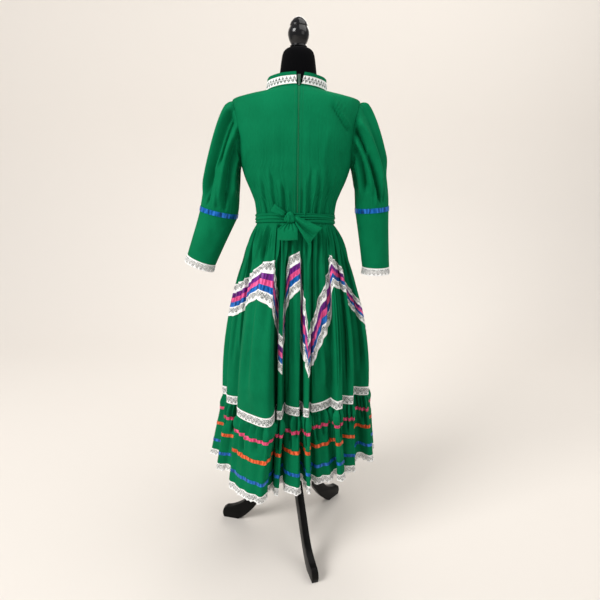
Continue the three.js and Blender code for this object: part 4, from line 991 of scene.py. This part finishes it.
# The second colour of each satin is its painted shade.
purple = satin("purple satin", (0.13, 0.012, 0.19), (0.05, 0.004, 0.09))
pink = satin("pink satin", (0.72, 0.075, 0.24), (0.42, 0.03, 0.13))
orange = satin("orange satin", (0.62, 0.085, 0.015), (0.36, 0.035, 0.006))
BANDS = [
    # name, top edge and foot as shares of the trim, look, slot, lift
    ("zigzag_lace_upper", 0, 0.28, lace(27), "white_lace", 1.12),
    ("zigzag_ribbon_purple", 0.28, 0.43, purple, "purple_satin", 1.0),
    ("zigzag_ribbon_pink", 0.43, 0.57, pink, "pink_satin", 1.0),
    ("zigzag_ribbon_blue", 0.57, 0.72, blue, "blue_satin", 1.0),
    ("zigzag_lace_lower", 0.72, 1, lace(26), "white_lace", 1.0),
]
heights = []
top_line, foot_line = zigzag_height(0), zigzag_height(1)
for t in np.concatenate([np.linspace(0, 0.2, 11)[:-1], np.linspace(0.2, 1, 14)[:-1]]):
    heights.append(waist_height - SEAM_GAP / 2 + (top_line - waist_height + SEAM_GAP / 2) * t)
band_rows = {}
for name, high, low, *_ in BANDS:
    band_rows[name] = slice(len(heights), len(heights) + 6)
    for t in np.linspace(0, 1, 6)[:-1]:
        heights.append(zigzag_height(high + (low - high) * t))
head_top = seam_height + 30
for t in np.linspace(0, 1, 18)[:-1]:
    heights.append(foot_line + (head_top - foot_line) * t)
head_rows = slice(len(heights), len(heights) + 7)
for t in np.linspace(0, 1, 7):
    heights.append(head_top + (seam_height + SEAM_GAP / 2 - head_top) * t)
skirt_grid, skirt_share = (np.stack(part) for part in zip(*(skirt_point(height) for height in heights)))
SKIRT_FOLDS = [
    # fold at start, height at start, fold at end, height at end, half width in folds, depth
    (1.18, 1080, 1.16, 600, 0.05, -4.0), (1.3, 1060, 1.3, 560, 0.06, 3.5),
    (1.42, 1085, 1.4, 800, 0.03, -3.0), (0.2, 1070, 0.2, 640, 0.07, -4.0),
    (0.4, 1070, 0.42, 700, 0.05, 3.0), (3.2, 1080, 3.22, 640, 0.06, -2.5),
    (3.38, 1080, 3.36, 700, 0.05, 2.5), (5.12, 1080, 5.14, 620, 0.05, -4.5),
    (5.3, 1080, 5.3, 600, 0.06, 4.0), (5.42, 1060, 5.4, 760, 0.03, -3.0),
    (7.2, 1075, 7.2, 640, 0.06, -3.0), (8.2, 1075, 8.2, 620, 0.07, -3.5),
    (8.38, 1060, 8.38, 640, 0.05, 3.0), (5.14, 960, 5.44, 585, 0.06, -4.5),
    (6.3, 1080, 6.25, 640, 0.08, -3.0), (2.02, 1090, 2.02, 560, 0.07, -6.0),
    (1.58, 1090, 1.56, 560, 0.05, -4.0), (3.02, 1090, 3.0, 580, 0.06, -4.5),
    (4.02, 1090, 4.0, 580, 0.06, -4.5), (5.0, 1090, 5.0, 580, 0.04, -2.0),
    (6.04, 1080, 6.02, 600, 0.06, -4.0), (7.04, 1080, 7.02, 620, 0.07, -5.0),
    (9.16, 1080, 9.14, 620, 0.06, -4.0), (9.34, 1080, 9.34, 640, 0.06, 3.5),
    (10.14, 1080, 10.14, 640, 0.05, 4.0), (10.3, 1080, 10.3, 620, 0.06, -4.0),
    (10.42, 1080, 10.42, 700, 0.04, 3), (11.12, 1080, 11.1, 640, 0.05, -4.0),
    (11.26, 1080, 11.26, 600, 0.06, 4.0), (11.4, 1080, 11.4, 660, 0.05, -3.5),
    (12.15, 1080, 12.15, 640, 0.05, 3.5), (12.32, 1080, 12.32, 620, 0.06, -4.0),
    (13.15, 1080, 13.15, 640, 0.06, 3), (13.34, 1080, 13.32, 620, 0.06, -3.5),
]
skirt_out = normals(skirt_grid, True)
waist_pleats = ripples(around[None] + 0 * skirt_share, 71, (53, 1.3), (71, 1.1), (97, 0.9), (29, 1.2))
pleat_share = np.sin(math.pi * np.clip(skirt_share / 0.2, 0, 1)) + 0.35 * bell((skirt_share - 0.24) / 0.13)
long_wave = ripples(around[None] + 0.01 * skirt_share, 73, (31, 0.9), (43, 0.6), (19, 1.0))
hang = np.sin(math.pi * np.clip(skirt_share, 0, 1))
skirt_creases = creases(fold[None], skirt_grid[..., 2], *SKIRT_FOLDS)
skirt_push = 2.9 * waist_pleats * pleat_share + 2.0 * long_wave * hang + 2.2 * skirt_creases
skirt_push *= np.clip((1 - skirt_share) * 9, 0, 1) * np.clip(skirt_share * 60, 0, 1)
skirt_grid = skirt_grid + skirt_out * skirt_push[..., None]
skirt_out = normals(skirt_grid, True)
skirt_out[-1, :, 2] = 0


def part_of(grid, first, last):
    """Columns of a closed grid from one fold number to another, the last one included."""
    size = grid.shape[1]
    return grid[:, np.arange(int(first * 4 * FINE), int(last * 4 * FINE) + 1) % size]


for name, node, first, last in (("skirt_back_panels", "skirt_back", 13.75, 22.75),
                                ("skirt_front_panels", "skirt_front", 8.75, 13.75)):
    green(name, node, part_of(skirt_grid, first, last), False, "gathered", ["form_body", "top_front"],
          out=part_of(skirt_out, first, last))

SKIRT_PANELS = ["skirt_back_panels", "skirt_front_panels"]
for name, _, _, look, slot, lift in BANDS:
    rows = band_rows[name]
    layer(f"{name}_strip", name, skirt_grid[rows], RIBBON, True, look, slot, "laid", SKIRT_PANELS,
          lift=lift, out=skirt_out[rows])
layer("flounce_head_lace_strip", "flounce_head_lace", skirt_grid[head_rows], LACE, True, lace(30),
      "white_lace", "laid", SKIRT_PANELS, lift=1.0, out=skirt_out[head_rows])

# Flounce
# A deep ruffle, cut longer than the skirt's foot and gathered onto it below the lace, with three
# narrow satin ribbons stitched along it and a gathered lace edge below its hem.
RIBBON_TALL = 11
RIBBON_DROPS = (("pink", 48), ("orange", 111), ("blue", 181))
hem = round_off(plan(1))
hem_height = HEM_LEVEL + SIDE_TILT * hem[:, 0]
flounce_top = np.column_stack([seam, seam_height - SEAM_GAP / 2])
flounce_foot = np.column_stack([hem, hem_height])
FLOUNCE_TALL = 225
drops, ribbon_rows, last_drop = [], {}, 0
for colour, drop in RIBBON_DROPS:
    drops += list(np.linspace(last_drop, drop, 9)[:-1])
    ribbon_rows[colour] = slice(len(drops), len(drops) + 5)
    drops += list(np.linspace(drop, drop + RIBBON_TALL, 5)[:-1])
    last_drop = drop + RIBBON_TALL
drops += list(np.linspace(last_drop, FLOUNCE_TALL, 10))
share = np.array(drops)[:, None, None] / FLOUNCE_TALL
flounce = flounce_top + (flounce_foot - flounce_top) * share
flounce_out = normals(flounce, True)
way = share[..., 0]
uneven = around[None] + 0.0006 * ripples(around[None], 80, (7, 1.0), (11, 1.0))
gathers = (ripples(uneven, 81, (101, 1.8), (83, 2.4), (91, 1.6)) * np.exp(-way * 4)
           + ripples(uneven + 0.002 * way, 82, (61, 2.8), (47, 3.0), (73, 2.0)) * (0.35 + np.exp(-way * 1.4))
           + ripples(uneven - 0.003 * way, 83, (29, 3.0), (37, 2.4)) * way)
tucked = np.clip(way * 22, 0, 1)
TUCK_TOP = -0.1
FLOUNCE_TUCKS = [(start, TUCK_TOP, *rest) for start, *rest in (
    # fold at start, fold at end, way down at end, half width in folds, depth
    (0.08, 0.06, 0.42, 0.04, -5.0), (0.22, 0.25, 0.30, 0.035, -4.5), (0.38, 0.36, 0.5, 0.045, -5.5),
    (1.03, 1.02, 0.38, 0.035, -5.0), (1.13, 1.16, 0.55, 0.03, -5.5), (1.22, 1.21, 0.26, 0.03, -4.0),
    (1.31, 1.34, 0.46, 0.03, -5.5), (1.40, 1.39, 0.33, 0.03, -4.5), (1.47, 1.45, 0.6, 0.03, -4.5),
    (2.2, 2.25, 0.5, 0.07, -4.0), (3.08, 3.1, 0.4, 0.04, -4.5), (3.22, 3.2, 0.55, 0.04, -5.5),
    (3.38, 3.4, 0.34, 0.04, -4.5), (4.22, 4.2, 0.5, 0.07, -4.0), (5.04, 5.06, 0.36, 0.03, -4.5),
    (5.12, 5.1, 0.52, 0.03, -5.5), (5.2, 5.23, 0.3, 0.03, -4.0), (5.29, 5.27, 0.45, 0.03, -5.0),
    (5.37, 5.4, 0.28, 0.03, -4.5), (5.45, 5.44, 0.58, 0.03, -4.5), (6.2, 6.25, 0.5, 0.06, -4.0),
    (7.15, 7.12, 0.45, 0.05, -5.0), (7.35, 7.38, 0.35, 0.05, -4.5), (13.1, 13.12, 0.5, 0.04, -5.0),
    (13.25, 13.22, 0.35, 0.04, -4.5), (13.4, 13.42, 0.55, 0.04, -5.5),
)]
HIDDEN_TUCKS = (8.07, 8.18, 8.3, 8.42, 9.06, 9.17, 9.26, 9.38, 9.46, 10.05, 10.16, 10.27, 10.4, 11.04,
                11.14, 11.25, 11.33, 11.44, 12.06, 12.18, 12.29, 12.41)
FLOUNCE_TUCKS += [(place, TUCK_TOP, place + 0.03, 0.3 + 0.25 * (number % 3) / 2,
                   0.035 + 0.005 * (number % 2), -4.2 - 0.6 * (number % 3))
                  for number, place in enumerate(HIDDEN_TUCKS)]
patches = 0.9 + 0.35 * ripples(around[None], 84, (9, 0.6), (14, 0.5))
pinched = 1 - 0.25 * sum(bell((way * FLOUNCE_TALL - drop - RIBBON_TALL / 2) / 9) for _, drop in RIBBON_DROPS)
tucks = creases(fold[None], way, *FLOUNCE_TUCKS)
puff = 7 * bell((way - 0.13) / 0.1)
flounce_push = (1.3 * gathers * patches + 3.2 * tucks + puff) * tucked * pinched
flounce = flounce + flounce_out * flounce_push[..., None]
flounce_out = normals(flounce, True)
flounce_out[0, :, 2] = 0
green("flounce_cloth", "flounce", flounce, True, "gathered", ["skirt_back_panels"], out=flounce_out)
# The second colour is the rose satin's painted shade.
rose = satin("rose satin", (0.66, 0.06, 0.16), (0.36, 0.02, 0.08))
flounce_satin = {"pink": (rose, "pink_satin"), "orange": (orange, "orange_satin"),
                 "blue": (blue, "blue_satin")}
for colour, rows in ribbon_rows.items():
    look, slot = flounce_satin[colour]
    count = rows.stop - rows.start
    pucker = ripples(around[None], 90 + rows.start, (290, 0.35), (210, 0.3)) * np.ones((count, 1))
    pucker = np.abs(pucker) * np.sin(math.pi * np.linspace(0.15, 0.85, count))[:, None]
    layer(f"flounce_ribbon_{colour}_strip", f"flounce_ribbon_{colour}",
          flounce[rows] + flounce_out[rows] * pucker[..., None], RIBBON, True, look, slot, "laid",
          ["flounce_cloth"], lift=1.0, out=flounce_out[rows])

flare = unit(flounce[-1] - flounce[-3])
HEM_LACE = 0.6
k = np.linspace(0, 1, 12)[:, None]
scallops = 2.2 * np.abs(np.sin(math.pi * 170 * around))[None] * k
hem_lace = flounce[-1] + (0, 0, -SEAM_GAP) + flare * (25 * k + scallops - 1)[..., None]
hem_out = normals(hem_lace, True)
frill = ripples(around[None], 95, (139, 1.3), (101, 1.4), (67, 1.2)) * k
hem_lace = hem_lace + hem_out * frill[..., None]
layer("hem_lace_strip", "hem_lace", hem_lace, HEM_LACE, True, lace(26), "white_lace", "gathered",
      ["flounce_cloth"])

# Sash
# A long strip of the same poplin, folded lengthwise, that goes round the waist and is tied at the
# back in a half bow: one short loop, a knot and two wide tails.
SASH_TALL = 26
sash_turn = full_turn(260)[None]
sash_rise = np.linspace(SASH_TALL, 0, 26)[:, None]
sash_x, sash_y = section(WAIST_HALF, WAIST_DEEP, 0, 2.0, sash_turn)
sash_grid = np.stack([sash_x + 0 * sash_rise, sash_y + 0 * sash_rise,
                      WAIST_LEVEL + SEAM_GAP + sash_rise - WAIST_TILT * sash_y], -1)
sash_out = normals(sash_grid, True)
way = sash_rise / SASH_TALL
round_way = sash_turn / (2 * math.pi)
sag = 0.06 * np.sin(2 * math.pi * round_way * 2 + 1) + 0.04 * np.sin(2 * math.pi * round_way * 5)
SASH_FOLDS = [
    # place up the sash, half width, depth, lean
    (0.3, 0.07, -2.0, 0.10), (0.44, 0.06, 1.2, 0.08), (0.58, 0.05, -1.7, -0.06), (0.75, 0.07, 1.4, -0.1),
    (0.86, 0.04, -1.4, -0.04), (0.14, 0.06, 1.0, 0.03),
]
slant = np.sin(2 * math.pi * (round_way - 0.75))
tucks = sum(depth * bell((way - place - sag - lean * slant) / wide)
            for place, wide, depth, lean in SASH_FOLDS)
near_knot = bell((sash_x + 14) / 34) * (sash_y < 0)
tucks = tucks * (1 + 0.6 * near_knot)
sash_grid = sash_grid + sash_out * (4.4 + tucks)[..., None]
green("sash_band", "sash", sash_grid, True, "folded", ["skirt_back_panels", "top_front"])

KNOT = (-14, -101.3, 1150)
KNOT_HIGH = 15.6
turn_a = full_turn(96)[None]
turn_b = np.linspace(0.02, math.pi - 0.02, 60)[:, None]
blunt = np.abs(np.sin(turn_b)) ** 0.75
knot_x = 15 * blunt * np.sign(np.cos(turn_a)) * np.abs(np.cos(turn_a)) ** 0.8
knot_z = KNOT_HIGH * np.sign(np.cos(turn_b)) * np.abs(np.cos(turn_b)) ** 0.85 + 0 * turn_a
knot_y = 8.2 * blunt * np.sin(turn_a)
pleat = 1.3 * np.sin(0.62 * knot_x + 0.12 * knot_z + 0.5) + 0.6 * np.sin(1.1 * knot_x - 0.1 * knot_z)
knot_y = knot_y + pleat * np.clip(-knot_y / 4, 0, 1) * np.sin(turn_b)
knot_grid = np.array(KNOT) + np.stack([knot_x * (1 - 0.42 * knot_z / KNOT_HIGH), knot_y, knot_z], -1)
rows, columns = knot_grid.shape[:2]
knot_faces = [tuple(face) for face in ring_faces(rows, columns)[:, [0, 3, 2, 1]]]
knot_faces.append(tuple(range(columns)))
knot_faces.append(tuple(range(rows * columns - 1, (rows - 1) * columns - 1, -1)))
finish_piece("sash_knot", knot_grid.reshape(-1, 3), knot_faces, None, poplin, ["bow_knot"])


def tail(name, node, top, low, belly, shoulder, folds, level=()):
    """Sash tail: a ruled strip from its top edge to its low edge, each from left to right, bellied out
    and pleated down by its folds and across by its level ones."""
    (top_left, top_right), (low_left, low_right) = np.array(top, float), np.array(low, float)
    u = np.linspace(0, 1, 60)[None, :, None]
    v = np.linspace(0, 1, 50)[:, None, None]
    spread = np.concatenate([np.minimum(1, v / shoulder) ** 0.8 * (0.9 + 0.1 * v), v, v], -1)
    grid = ((top_left * (1 - u) + top_right * u) * (1 - spread)
            + (low_left * (1 - u) + low_right * u) * spread)
    grid = grid - np.array([0, belly, 0]) * np.sin(math.pi * u) * v
    out = normals(grid)
    u, v = u[..., 0], v[..., 0]
    edge = np.sin(math.pi * np.clip(u, 0.02, 0.98)) ** 0.3
    push = (creases(u, v, *folds) + creases(v, u, *level)) * edge
    grid = grid + out * push[..., None]
    green(name, node, grid, False, "folded", ["sash_band"])
    return grid


ky = KNOT[1]
left_tail = tail("sash_tail_left", "bow_tail_left", [(-26, ky - 1, 1134), (-3, ky - 1, 1134)],
                 [(-49, ky - 18, 1088), (9, ky - 20, 1089)], 9, 0.34,
                 [(0.2, -0.2, 0.12, 0.5, 0.06, -3.0), (0.38, -0.2, 0.36, 0.6, 0.05, -3.4),
                  (0.55, -0.2, 0.58, 0.45, 0.05, -3.0), (0.75, -0.2, 0.83, 0.55, 0.05, -2.8)])
right_tail = tail("sash_tail_right", "bow_tail_right", [(1.4, ky - 2, 1156), (78, ky - 12, 1123)],
                  [(1.4, ky - 4, 1134), (40, ky - 16, 1074)], 7, 1, [],
                  [(0.3, -0.1, 0.25, 1.2, 0.13, 6.0), (0.62, -0.1, 0.5, 1.2, 0.09, -9.0),
                   (0.9, -0.1, 0.8, 1.2, 0.1, 4.0), (0.12, -0.1, 0.1, 0.6, 0.05, -2.0)])
stitches("left_tail_hem", left_tail[46, 1:-1] + (0, -0.2, 0))
stitches("right_tail_hem", right_tail[4:-4, 56] + (0, -0.2, 0))

LOOP_LONG, LOOP_WIDE = 36, 23
loop_turn = full_turn(90)[None]
rise = math.radians(30)
loop_along = np.array([-math.cos(rise), 0, math.sin(rise)])
loop_across = np.array([math.sin(rise), 0, math.cos(rise)])
s = np.linspace(0.5, -0.5, 26)[:, None]
reach = (1 - np.cos(loop_turn)) / 2
loop_grid = (np.array([-30.4, ky - 0.6, 1158.8]) + (LOOP_LONG * reach)[..., None] * loop_along
             + (s * LOOP_WIDE * (0.55 + 0.45 * reach))[..., None] * loop_across
             + (-4.2 * np.sin(loop_turn) + 0 * s)[..., None] * np.array([0, 1, 0]))
loop_out = normals(loop_grid, True)
loop_push = 0.8 * np.sin(9 * s + 2 * reach) * (1 - reach)
green("sash_loop", "bow_loop_left", loop_grid + loop_out * loop_push[..., None], True, "folded",
      ["sash_band"])
